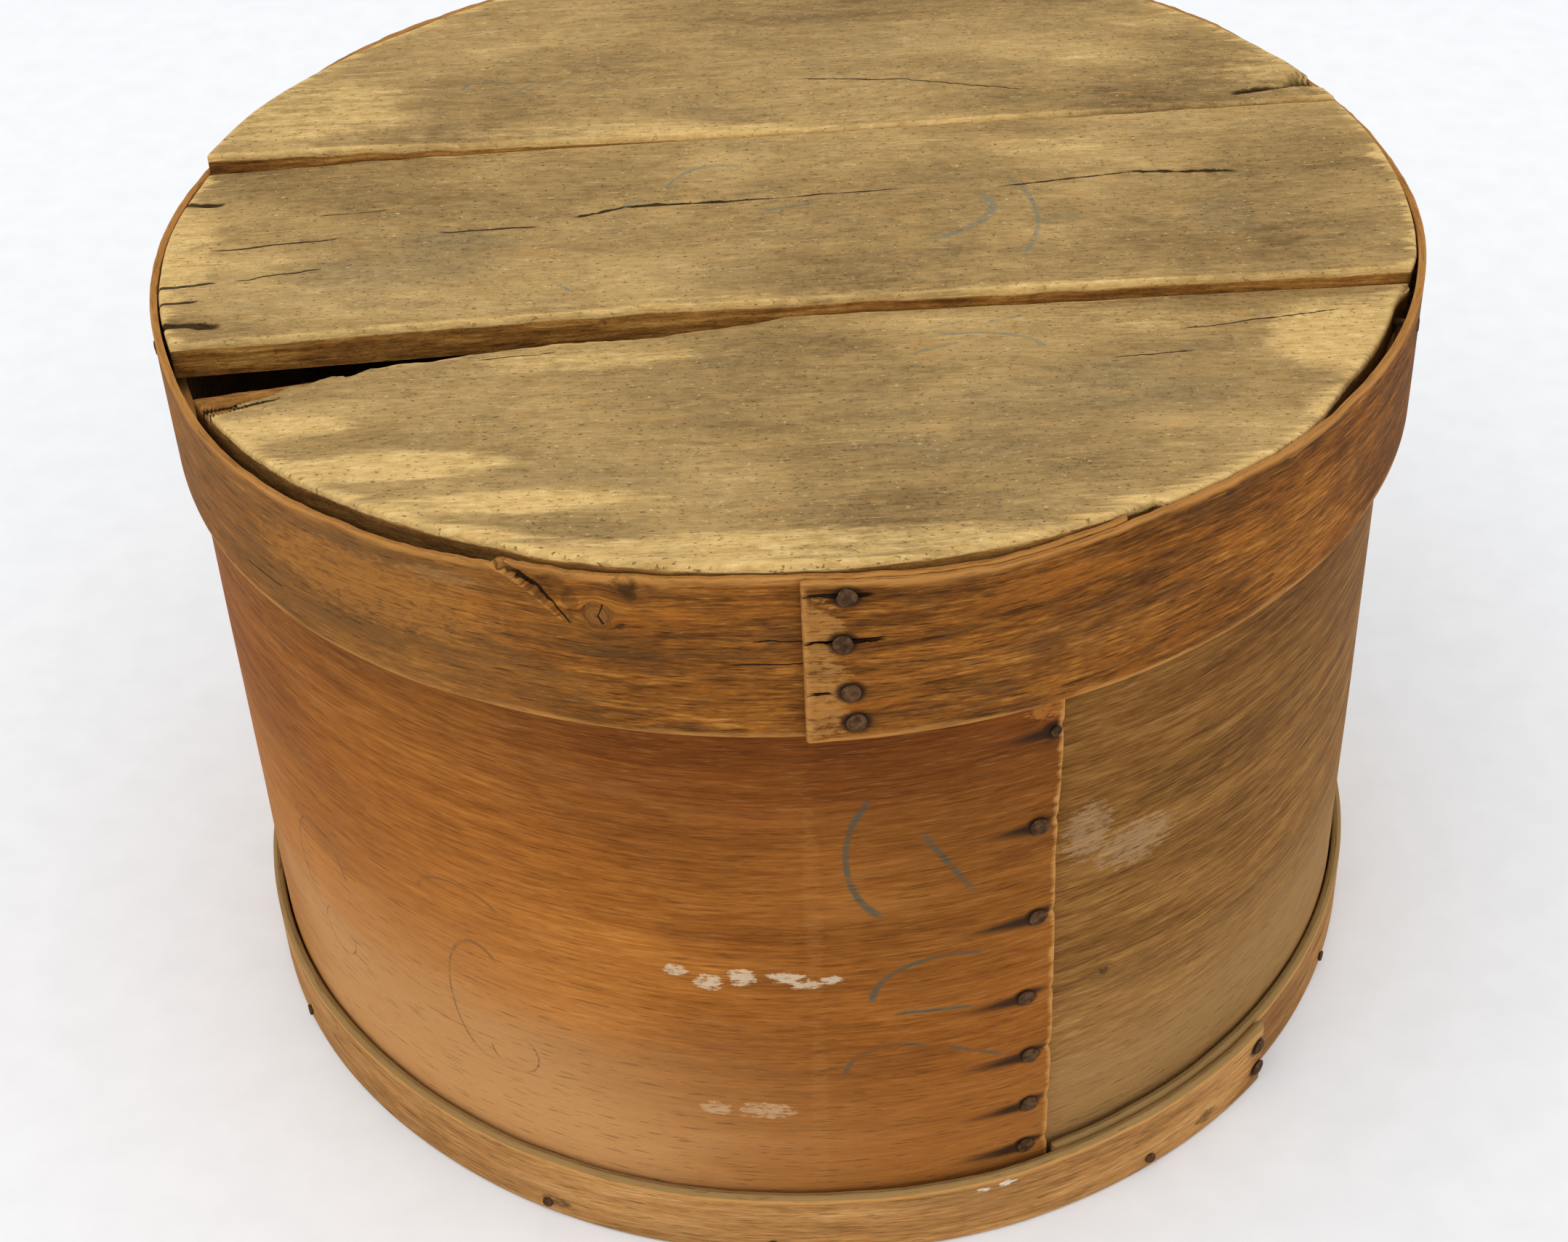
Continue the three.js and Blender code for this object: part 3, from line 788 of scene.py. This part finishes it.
def rustLook():
    look = Look("rusty iron")
    place = look.node("ShaderNodeTexCoord", {}, {}, "Object")
    coarse = look.noise(place, (500, 500, 500), detail=4, rough=0.6)
    fine = look.noise(place, (2600, 2600, 2600), (3, 1, 2), detail=2)
    colour = look.ramp(coarse, [(0.3, (0.03, 0.013, 0.005)), (0.46, (0.06, 0.029, 0.012)),
                                (0.6, (0.1, 0.051, 0.022)), (0.76, (0.17, 0.07, 0.022))])
    return look.finish(colour, 0.6 + 0.35 * fine, coarse * 0.6 + fine * 0.3, 0.0008, 0.1)


def grainTone(look, figure, seed, blotch, streak, fibre):
    # blotches, streaks and fibres, each with its size and its share, as one value around a half
    layers = []
    tone = None
    for i, (size, share, detail, harsh) in enumerate((blotch, streak, fibre)):
        shift = (seed + 2.3 * i, seed * 1.7 + i, seed * 0.6)
        layer = look.noise(figure, size, shift, detail=detail, rough=harsh)
        layers.append(layer)
        part = (layer - 0.5) * share
        tone = part + 0.5 if tone is None else tone + part
    return tone, layers


def boardLook(board):
    look = Look(f"weathered board {board['name']}")
    seed = board["seed"]
    figure = look.attribute("figure")
    x, y, depth = look.xyz(look.attribute("grain"))
    rim = look.attribute("rim", "Fac")
    seam = look.attribute("seam", "Fac")
    torn = look.attribute("torn", "Fac")
    tone, (blotch, streak, fibre) = grainTone(
        look, figure, seed, ((10, 21, 21), 1.15, 6, 0.64), ((16, 130, 130), 0.4, 4, 0.7), ((110, 1000, 1000), 0.45, 3, 0.75))
    mottle = look.noise(figure, (170, 330, 330), (seed, 5, 5), detail=4, rough=0.75)
    tone = tone + (mottle - 0.5) * 0.5
    colour = look.ramp(tone, [(0.16, (0.135, 0.078, 0.028)), (0.38, (0.25, 0.156, 0.057)), (0.54, (0.35, 0.223, 0.082)),
                              (0.72, (0.475, 0.312, 0.12)), (0.9, (0.67, 0.46, 0.2))])
    dirt = look.noise(figure, (24, 50, 50), (seed * 2, 4, 1), detail=6, rough=0.74)
    dirtMask = look.step(dirt, 0.5, 0.66) * 0.32
    stained = look.most([look.spot(x, y, centre, size) * share for centre, size, share in board["stains"]])
    stained = look.step(stained + (dirt - 0.5) * 2 + (mottle - 0.5) * 0.8, 0.15, 0.95)
    dirtMask = look.most([dirtMask, stained * 0.62])
    colour = look.mix(dirtMask, colour, look.ramp(mottle, [(0.35, (0.13, 0.092, 0.042)), (0.65, (0.28, 0.193, 0.088))]))
    # bare wood where hands and weather reached
    frayed = look.noise(figure, (12, 230, 230), (2, 2, seed), detail=5, rough=0.74)
    bare = 1 - look.step(rim + (frayed - 0.5) * 0.03 + (mottle - 0.5) * 0.006, 0, board["bareRim"] * mm)
    patches = [look.spot(x, y, centre, size) * share for centre, size, share in board["bare"]]
    worn = look.step(look.most(patches) + (frayed - 0.5) * 1.6 + (blotch - 0.5) * 1.2 + (mottle - 0.5) * 0.5, 0.25, 1)
    worn = look.most([worn * 0.85, bare * 0.9])
    pale = look.ramp(fibre * 0.5 + mottle * 0.5, [(0.34, (0.44, 0.27, 0.09)), (0.5, (0.62, 0.41, 0.15)),
                                                  (0.66, (0.78, 0.56, 0.25))])
    colour = look.mix(worn, colour, pale)
    warm = look.step(look.noise(figure, (60, 190, 190), (1, seed * 5, 3), detail=4, rough=0.7), 0.55, 0.68)
    colour = look.mix(warm * 0.42, colour, (0.46, 0.25, 0.075))
    # scratches both ways, dark specks and pale flecks
    scratched = [look.step(look.noise(figure, size, (seed, i, 2), detail=2, rough=0.6, turn=turn), low, low + 0.05)
                 for i, (size, turn, low) in enumerate((((26, 1100, 300), 0.7, 0.68), ((20, 900, 300), -0.9, 0.69)))]
    colour = look.mix(look.most(scratched) * 0.5, colour, (0.66, 0.46, 0.2))
    speck = look.noise(figure, (480, 1000, 1000), (seed, 8, 1), detail=2, rough=0.6)
    dark = look.step(speck, 0.64, 0.7)
    colour = look.mix(dark * 0.6, colour, (0.07, 0.04, 0.016))
    colour = look.mix(look.step(1 - speck, 0.66, 0.72) * 0.55, colour, (0.78, 0.6, 0.32))
    crayon = [look.stroke(x, y, start, end, width) for start, end, width in board["crayon"]]
    crayon += [look.arc(x, y, *values) for values in board["arcs"]]
    crayon = look.most(crayon) * look.step(fibre * 0.5 + mottle * 0.5, 0.42, 0.56)
    colour = look.mix(crayon * 0.6, colour, (0.07, 0.14, 0.14))
    # the arris is rubbed bright, the edge faces are brown, and the board ends in the slot round the rim are painted
    # dark as shade
    arris = (1 - look.step(seam - (frayed - 0.5) * 0.004, 0.0003, 0.002)) * look.step(blotch + frayed, 0.7, 1.05)
    colour = look.mix(arris * 0.75, colour, pale)
    edge = look.step(depth + (frayed - 0.5) * 0.002, 0.0008, 0.0018)
    edge = look.most([edge, torn])
    rings = look.noise(figure, (24, 90, 330), (seed, 3, 5), detail=5, rough=0.72)
    edgeTone = look.ramp(rings + (mottle - 0.5) * 0.4, [(0.3, (0.07, 0.027, 0.006)), (0.44, (0.17, 0.07, 0.014)),
                                                        (0.56, (0.28, 0.125, 0.026)), (0.7, (0.44, 0.24, 0.06))])
    colour = look.mix(edge, colour, edgeTone)
    # painted shade: the board ends in the slot against the band are darkened
    rimSlotShade = (1 - look.step(rim, 0.0002, 0.0012)) * look.step(depth, 0.0008, 0.003)
    colour = look.mix(rimSlotShade * 0.6, colour, (0.08, 0.04, 0.012))
    # painted shade: each split is coloured nearly black for the shade inside it
    wander = (look.noise(figure, (70, 70, 70), (seed, 1, 7), detail=3, rough=0.7) - 0.5) * 0.0022
    cracks = look.most([look.stroke(x, y, start, end, width, wander) for start, end, width, sunk in board["splits"]])
    cracks = look.step(cracks, 0.1, 0.7) * (1 - look.step(depth, 0.001, 0.002))
    colour = look.mix(cracks * 0.93, colour, (0.028, 0.015, 0.007))
    height = fibre * 0.5 + mottle * 0.35 + streak * 0.25 + speck * 0.2 - dark * 0.5 - cracks * 1.5
    rough = 0.66 + 0.28 * mottle
    return look.finish(colour, rough, height, 0.0009, 0.07)


def stripLook(name, strip, values):
    look = Look(name)
    seed = values["seed"]
    height = strip["high"] - strip["low"]
    figure = look.attribute("figure")
    x, y, depth = look.xyz(look.attribute("grain"))
    rim = look.attribute("rim", "Fac")
    tone, (blotch, streak, fibre) = grainTone(look, figure, seed, *values["layers"])
    colour = look.ramp(tone, values["tones"])
    patchy = look.noise(figure, values["patch"], (seed * 3, 1, 4), detail=5, rough=0.68)
    for shade, share, low, high in values["clouds"]:
        colour = look.mix(look.step(patchy, low, high) * share, colour, shade)
        patchy = 1 - patchy
    if "second" in values:
        tones, along, up = values["second"]
        colour = look.mix(look.zone(x, y, along, up, blotch - 0.5), colour, look.ramp(tone, tones))
    for shade, share, blend, along, up in values["zones"]:
        colour = look.mix(look.zone(x, y, along, up, blotch - 0.5) * share, colour, shade, blend)
    pores = look.step(look.noise(figure, (70, 1000, 1000), (seed, 8, 1), detail=2, rough=0.7), 0.6, 0.72)
    colour = look.mix(pores * values["pore"], colour, values["poreColour"])
    raised = look.step(look.noise(figure, values["raisedSize"], (2, seed, 6), detail=3, rough=0.72), 0.54, 0.7)
    colour = look.mix(raised * values["raised"], colour, values["raisedColour"])
    for colourOf, share, marks in values["marks"]:
        drawn = [look.arc(x, y, *mark) if isinstance(mark[-1], tuple) else look.stroke(x, y, *mark) for mark in marks]
        drawn = look.most(drawn) * look.step(fibre * 0.5 + streak * 0.3 + pores * 0.1, 0.32, 0.45)
        colour = look.mix(drawn * share, colour, colourOf)
    flakes = look.noise(figure, (260, 520, 520), (seed, 5, 9), detail=3, rough=0.7)
    for colourOf, share, places in values["smears"]:
        smear = look.most([look.spot(x, y, centre, size) for centre, size in places])
        smear = smear + look.step(smear, 0, 0.3) * ((flakes - 0.5) * 3.4 + (fibre - 0.5) * 1.6)
        smear = look.step(smear, 0.35, 1)
        colour = look.mix(smear * share, colour, colourOf)
    # iron from the nails has run along the grain
    halo = []
    for place, z, reach, strength in values["nails"]:
        halo.append(look.spot(x, y, (place, z), (5.8, 4.6)) * (1.35 * strength))
        halo.append(look.run(x, y, place, z - 0.4, reach, 4.6) * (1.15 * strength))
        halo.append(look.run(x, y, place, z + 1.4, -0.4 * reach, 3.6) * (1.2 * strength))
    if halo:
        halo = look.most(halo)
        spread = halo + look.step(halo, 0.02, 0.4) * ((fibre - 0.5) * 0.9 + (streak - 0.5) * 0.9)
        colour = look.mix(look.step(spread, 0, 1.05) * 0.93, colour, (0.022, 0.011, 0.006))
    relief = fibre * 0.5 + streak * 0.3 + raised * (0.5 * values["raised"]) - pores * 0.4
    wander = (look.noise(figure, (90, 90, 90), (seed, 1, 7), detail=3, rough=0.7) - 0.5) * 0.002
    # painted shade: cracks and splits are coloured nearly black for the shade inside them and beside the sprung flap
    if values["splits"]:
        cracks = [look.stroke(x, y, start, end, width, wander) for start, end, width, sunk in values["splits"]]
        cracks = look.step(look.most(cracks), 0.1, 0.6)
        colour = look.mix(cracks * 0.95, colour, (0.015, 0.008, 0.004))
        relief = relief - cracks * 1.5
    # worn edges, the top and the inside
    frayed = look.noise(figure, (35, 300, 300), (2, 2, seed), detail=3, rough=0.6)
    worn = 1 - look.step(rim + (frayed - 0.5) * 0.004, 0.0003, 0.0024)
    colour = look.mix(worn * values["edgeShare"], colour, look.mix(frayed, values["edge"], values["edgeDark"]))
    fromTop = height * mm - y + (frayed - 0.5) * 0.0012
    for shade, share, low, high in values["top"]:
        line = look.step(fromTop, (low - 0.5) * mm, low * mm) * (1 - look.step(fromTop, high * mm, (high + 0.6) * mm))
        colour = look.mix(line * share, colour, shade)
    inside = look.step(depth, strip["thick"] * 0.55 * mm, strip["thick"] * 0.9 * mm) * look.step(rim, 0.0004, 0.002)
    insideTone = look.ramp(tone, [(0.25, tuple(v * 0.55 for v in values["inside"])), (0.5, values["inside"]),
                                  (0.78, tuple(v * 1.35 for v in values["inside"]))])
    colour = look.mix(inside * 0.85, colour, insideTone)
    rough = values["rough"] + 0.25 * look.noise(figure, (60, 240, 240), (4, 4, 4), detail=2)
    return look.finish(colour, rough, relief, values["bump"], values["gloss"])


wallWood = {
    "seed": 2.3, "rough": 0.55, "bump": 0.0006, "gloss": 0.06,
    "layers": (((7, 18, 18), 0.6, 5, 0.62), ((14, 210, 210), 0.55, 4, 0.7), ((80, 1150, 1150), 0.8, 3, 0.76)),
    "tones": [(0.15, (0.12, 0.036, 0.004)), (0.38, (0.225, 0.074, 0.01)), (0.54, (0.315, 0.112, 0.017)),
              (0.72, (0.42, 0.165, 0.032)), (0.9, (0.58, 0.27, 0.08))],
    # the stretch right of the lap is browner and more mottled; its darker tones are partly its own colour and partly
    # painted shade on that side of the box
    "second": ([(0.2, (0.05, 0.021, 0.005)), (0.4, (0.14, 0.058, 0.011)), (0.54, (0.225, 0.1, 0.021)),
                (0.7, (0.33, 0.168, 0.045)), (0.88, (0.48, 0.29, 0.12))], (720, 1040, 1500, 1600), (-90, -60, 400, 420)),
    "patch": (11, 55, 55),
    "clouds": [((0.15, 0.055, 0.012), 0.35, 0.52, 0.7), ((0.43, 0.18, 0.045), 0.35, 0.54, 0.7)],
    "zones": [
        ((0.46, 0.205, 0.058), 0.45, "MIX", (110, 190, 560, 760), (-90, -60, 75, 165)),
        ((0.56, 0.29, 0.11), 0.7, "MIX", (40, 130, 260, 320), (-90, -60, 40, 120)),
        ((0.44, 0.19, 0.052), 0.5, "MIX", (-60, -30, 60, 130), (-90, -60, 30, 100)),
        ((0.4, 0.23, 0.085), 0.55, "MIX", (900, 1000, 1500, 1600), (-90, -60, 40, 110)),
        ((0.83, 0.78, 0.64), 1.0, "MULTIPLY", (150, 270, 560, 760), (90, 150, 400, 420)),
        ((1.13, 1.08, 1), 1.0, "MULTIPLY", (90, 150, 330, 420), (70, 110, 160, 200)),
        ((0.84, 0.85, 0.85), 1.0, "MULTIPLY", (-60, -40, 50, 90), (110, 145, 200, 215)),
        ((0.55, 0.42, 0.34), 1.0, "MULTIPLY", (-60, -40, 110, 200), (140, 215, 400, 420)),
        ((0.7, 0.62, 0.5), 0.8, "MULTIPLY", (1060, 1150, 1500, 1600), (150, 205, 400, 420)),
        ((0.8, 0.72, 0.62), 1.0, "MULTIPLY", (-60, -40, 90, 160), (-90, -60, 120, 190)),
    ],
    "pore": 0.45, "poreColour": (0.09, 0.033, 0.008), "raised": 0.25, "raisedSize": (70, 1000, 1000),
    "raisedColour": (0.52, 0.25, 0.07), "edge": (0.56, 0.28, 0.08), "edgeDark": (0.4, 0.17, 0.04), "edgeShare": 0.9,
    "inside": (0.5, 0.32, 0.15), "top": [],
    # each mark: centre, half sizes, half width and the side that is kept; or start, end and half width
    "marks": [
        ((0.014, 0.07, 0.06), 0.68, [
            ((50, 171), (15, 25), 1.4, (1, -0.1, 0.45)), ((43, 178), (27, 151), 1.6),
            ((36, 113), (22, 14), 1.1, (0.6, 1, 0.55)), ((52, 106), (26, 103), 1.1),
            ((52, 80), (15, 12), 1.1, (0.4, 1, 0.35)), ((36, 88), (17, 78), 1.0),
        ]),
        ((0.1, 0.062, 0.03), 0.6, [
            ((262, 98), (16, 22), 0.6, (0.6, 1, -0.3)), ((258, 74), (9, 9), 0.55, (0.4, -1, -0.6)),
            ((190, 128), (16, 9), 0.65, (0.2, 1, 0.2)), ((186, 88), (13, 26), 0.6, (1, 0.2, -0.4)),
            ((176, 70), (9, 9), 0.6, (-0.5, -1, -0.4)),
        ]),
    ],
    "smears": [
        ((0.72, 0.6, 0.41), 0.58, [((117, 125.5), (5, 3.6)), ((107, 121.5), (6, 4.4)), ((97, 124.5), (6, 5)),
                                   ((84, 124.5), (8, 3.4)), ((78, 121.5), (7, 3)), ((70, 123), (5, 2.6))]),
        ((0.66, 0.48, 0.28), 0.4, [((92, 65), (12, 5)), ((108, 65), (7, 4))]),
        ((0.42, 0.29, 0.17), 0.34, [((1236, 158), (12, 16)), ((1218, 146), (20, 12))]),
        ((0.4, 0.17, 0.04), 0.18, [((75, 60), (4, 60)), ((75, 150), (4, 60))]),
        ((0.46, 0.17, 0.03), 0.6, [((5, 215), (10, 7))]),
        ((0.05, 0.028, 0.012), 0.75, [((1227, 95.4), (3, 2.4))]),
    ],
    "splits": [],
}
bandWood = {
    "seed": 5.1, "rough": 0.6, "bump": 0.001, "gloss": 0.06,
    "layers": (((14, 42, 42), 1.1, 5, 0.66), ((24, 260, 260), 0.95, 4, 0.72), ((100, 1100, 1100), 1.15, 3, 0.76)),
    "tones": [(0.12, (0.045, 0.016, 0.003)), (0.36, (0.11, 0.038, 0.006)), (0.52, (0.185, 0.062, 0.009)),
              (0.68, (0.29, 0.105, 0.015)), (0.88, (0.45, 0.195, 0.038))],
    "patch": (16, 70, 70),
    "clouds": [((0.085, 0.04, 0.014), 0.55, 0.5, 0.66), ((0.36, 0.115, 0.015), 0.45, 0.53, 0.68)],
    "zones": [((0.28, 0.13, 0.034), 0.4, "MIX", (840, 960, 1170, 1235), (-90, -60, 400, 420))],
    "pore": 0.6, "poreColour": (0.035, 0.014, 0.004), "raised": 0.5, "raisedSize": (70, 900, 900),
    "raisedColour": (0.42, 0.185, 0.038), "edge": (0.54, 0.26, 0.07), "edgeDark": (0.3, 0.12, 0.025), "edgeShare": 0.85,
    "inside": (0.3, 0.16, 0.06), "top": [],
    "marks": [((0.46, 0.22, 0.06), 0.75, [
        ((1193.4, 50.9), (1201.6, 48), 0.45), ((1201.6, 48), (1207.3, 44.1), 0.5),
        ((1207.3, 44.1), (1211, 39.9), 0.45), ((1211, 39.9), (1215.6, 34.8), 0.35),
    ])],
    "smears": [
        ((0.46, 0.22, 0.06), 0.5, [((4, 16), (12, 22)), ((4, 34), (11, 14))]),
        ((0.4, 0.16, 0.03), 0.5, [((1150, 30), (60, 18))]),
        ((0.125, 0.062, 0.024), 0.6, [((1225.5, 37.6), (5.8, 5))]),
        ((0.06, 0.024, 0.007), 0.85, [((1235, 46.4), (4, 5)), ((1232, 34.6), (2, 1.7))]),
        # painted shadow: the recessed wood right of the crack is darkened where the sprung flap shades it
        ((0.06, 0.024, 0.007), 0.5, [((1213, 46.5), (6, 3.6)), ((1218, 41), (3.4, 7))]),
        ((0.42, 0.25, 0.1), 0.25, [((1180, 43), (18, 4))]),
        ((0.05, 0.022, 0.008), 0.6, [((126, 47.4), (3, 2.2)), ((112, 46.6), (12, 1.6)), ((1296, 21), (2.2, 1.6))]),
    ],
}
# cracks on the band, painted nearly black as shade; along the main crack this is painted shadow from the sprung flap
bandCrackLines = [((1196, 50.8), (1203.8, 47.9), 0.5, 0), ((1203.2, 48.1), (1209.2, 44), 0.7, 0),
                  ((1208.8, 44.3), (1213.1, 39.8), 0.65, 0), ((1212.7, 40.2), (1217.8, 34), 0.4, 0),
                  ((1227.4, 34.9), (1226, 37.8), 0.42, 0), ((1226, 37.5), (1227.6, 41), 0.24, 0),
                  ((1092, 11), (1112, 11.6), 0.3, 0), ((1262, 24), (1285, 23.6), 0.3, 0),
                  ((1268, 31), (1282, 30.8), 0.3, 0)]
hoopWood = {
    "seed": 8.4, "rough": 0.6, "bump": 0.0007, "gloss": 0.06,
    "layers": (((9, 50, 50), 0.9, 5, 0.64), ((16, 240, 240), 0.8, 4, 0.7), ((80, 1100, 1100), 1.0, 3, 0.75)),
    "tones": [(0.15, (0.16, 0.072, 0.018)), (0.38, (0.3, 0.14, 0.04)), (0.54, (0.42, 0.2, 0.061)),
              (0.72, (0.52, 0.275, 0.095)), (0.9, (0.65, 0.42, 0.2))],
    "patch": (12, 80, 80),
    "clouds": [((0.25, 0.13, 0.045), 0.45, 0.52, 0.7), ((0.5, 0.21, 0.05), 0.4, 0.55, 0.7)],
    "zones": [((0.55, 0.5, 0.45), 0.8, "MULTIPLY", (1180, 1290, 1500, 1600), (-90, -60, 400, 420)),
              ((0.6, 0.52, 0.46), 0.7, "MULTIPLY", (-90, -60, -5, 20), (-90, -60, 400, 420))],
    "pore": 0.5, "poreColour": (0.09, 0.04, 0.012), "raised": 0.3, "raisedSize": (60, 900, 900),
    "raisedColour": (0.6, 0.34, 0.13), "edge": (0.42, 0.25, 0.09), "edgeDark": (0.2, 0.12, 0.04), "edgeShare": 0.6,
    "inside": (0.3, 0.2, 0.1),
    "top": [((0.24, 0.155, 0.058), 0.65, -9, 1.3), ((0.56, 0.27, 0.075), 0.7, 1.5, 2.4)],
    "marks": [],
    "smears": [((0.8, 0.74, 0.62), 0.7, [((112, 23.2), (5, 1.8)), ((120, 22.6), (3, 1.4))]),
               ((0.1, 0.055, 0.018), 0.7, [((264, 6.5), (8, 3.4)), ((31, 7), (7, 4)), ((-20, 11), (5, 4))])],
    "splits": [],
}


def stage():
    bpy.ops.object.select_all(action="DESELECT")
    bpy.ops.mesh.primitive_plane_add(size=60, location=(0, 0, 0))
    floor = bpy.context.object
    floor.name = "floor"
    look = Look("pale floor")
    place = look.node("ShaderNodeTexCoord", {}, {}, "Object")
    height = look.noise(place, (60, 60, 60), detail=2)
    colour = look.ramp(height, [(0.3, (0.8, 0.81, 0.825)), (0.7, (0.83, 0.84, 0.855))])
    floor.data.materials.append(look.finish(colour, height * 0.1 + 0.75, height, 0.0002, 0.2))


def light(name, size, power, place, aim, colour):
    bpy.ops.object.light_add(type="AREA", location=place)
    lamp = bpy.context.object
    lamp.name = name
    lamp.data.shape = "SQUARE"
    lamp.data.size = size
    lamp.data.energy = power
    lamp.data.color = colour
    lamp.rotation_euler = (Vector(aim) - Vector(place)).to_track_quat("-Z", "Y").to_euler()


def lights():
    world = bpy.data.worlds.new("studio")
    bpy.context.scene.world = world
    world.use_nodes = True
    world.node_tree.nodes["Background"].inputs["Color"].default_value = (0.98, 0.99, 1, 1)
    world.node_tree.nodes["Background"].inputs["Strength"].default_value = 1.06
    light("key", 1.6, 10, (-1.0, -0.9, 1.9), (0, 0, 0.2), (1, 0.98, 0.95))
    light("fill", 1.8, 8, (1.4, -1.4, 1.2), (0, 0, 0.15), (1, 1, 1))
    bpy.context.scene.view_settings.view_transform = "Standard"
    print("lights ready")


def build():
    wallSpots = [(stripLength(wallStrip, wound(wallStrip, degrees)), z, 36 if z < 150 else 26, 1)
                 for degrees, z, head in wallNails]
    wall = woundPiece("wallStrip", wallStrip, wallShape)
    dress(wall, stripLook("old wall veneer", wallStrip, dict(wallWood, nails=wallSpots)), "box", "wall")
    print("wall ready")
    hoopSpots = [(stripLength(hoopStrip, wound(hoopStrip, degrees)), z, 9, 0.9) for degrees, z, clinched in hoopNails]
    hoop = woundPiece("hoopStrip", hoopStrip, hoopShape)
    dress(hoop, stripLook("old hoop", hoopStrip, dict(hoopWood, nails=hoopSpots)), "box", "bottom_hoop")
    print("hoop ready")
    bandSpots = []
    for degrees, z, depth in bandNails:
        height = bandStrip["high"] - bandStrip["low"]
        up = (z - bandStrip["low"]) / (bandTop(degrees) - bandStrip["low"]) * height
        bandSpots.append((stripLength(bandStrip, wound(bandStrip, degrees)), up, 9, 0.95))
    band = woundPiece("lidBandStrip", bandStrip, bandShape)
    bandValues = dict(bandWood, nails=bandSpots, splits=bandSplits + bandCrackLines)
    dress(band, stripLook("old lid band", bandStrip, bandValues), "lid", "lid_band")
    print("lid band ready")
    gap = lidSeams["gap"] / 2
    for board, lowLine, highLine, lift in (
        (middleBoard, lambda x: frontSeam(x) + gap, lambda x: backSeam(x) - gap, middleLift),
        (backBoard, lambda x: backSeam(x) + gap, lambda x: rimLevel(x, 1), backLift),
        (frontBoard, lambda x: rimLevel(x, -1), frontBoardEdge, frontLift),
    ):
        piece = lidBoard(board, lowLine, highLine, lift)
        dress(piece, boardLook(board), "lid", board["node"])
    print("lid boards ready")
    plain = Look("base boards")
    place = plain.attribute("grain")
    tone, layers = grainTone(plain, place, 4, ((8, 30, 30), 1, 4, 0.6), ((7, 150, 150), 1, 4, 0.65),
                             ((50, 1200, 1200), 0.8, 3, 0.7))
    colour = plain.ramp(tone, [(0.2, (0.22, 0.13, 0.055)), (0.5, (0.42, 0.27, 0.12)), (0.8, (0.62, 0.44, 0.23))])
    baseLook = plain.finish(colour, 0.7 + 0.15 * layers[0], layers[2] * 0.5 + layers[1] * 0.4, 0.0008, 0.15)
    for name, node, low, high in baseBoards:
        dress(baseBoard(name, low, high), baseLook, "box", node)
    print("base boards ready")
    iron = rustLook()
    for seed, (node, body, nail) in enumerate(allNails()):
        dress(nailPiece(f"{node}_iron", nail, seed + 1), iron, body, node)
    print("nails ready")


makeCamera()
build()
stage()
lights()
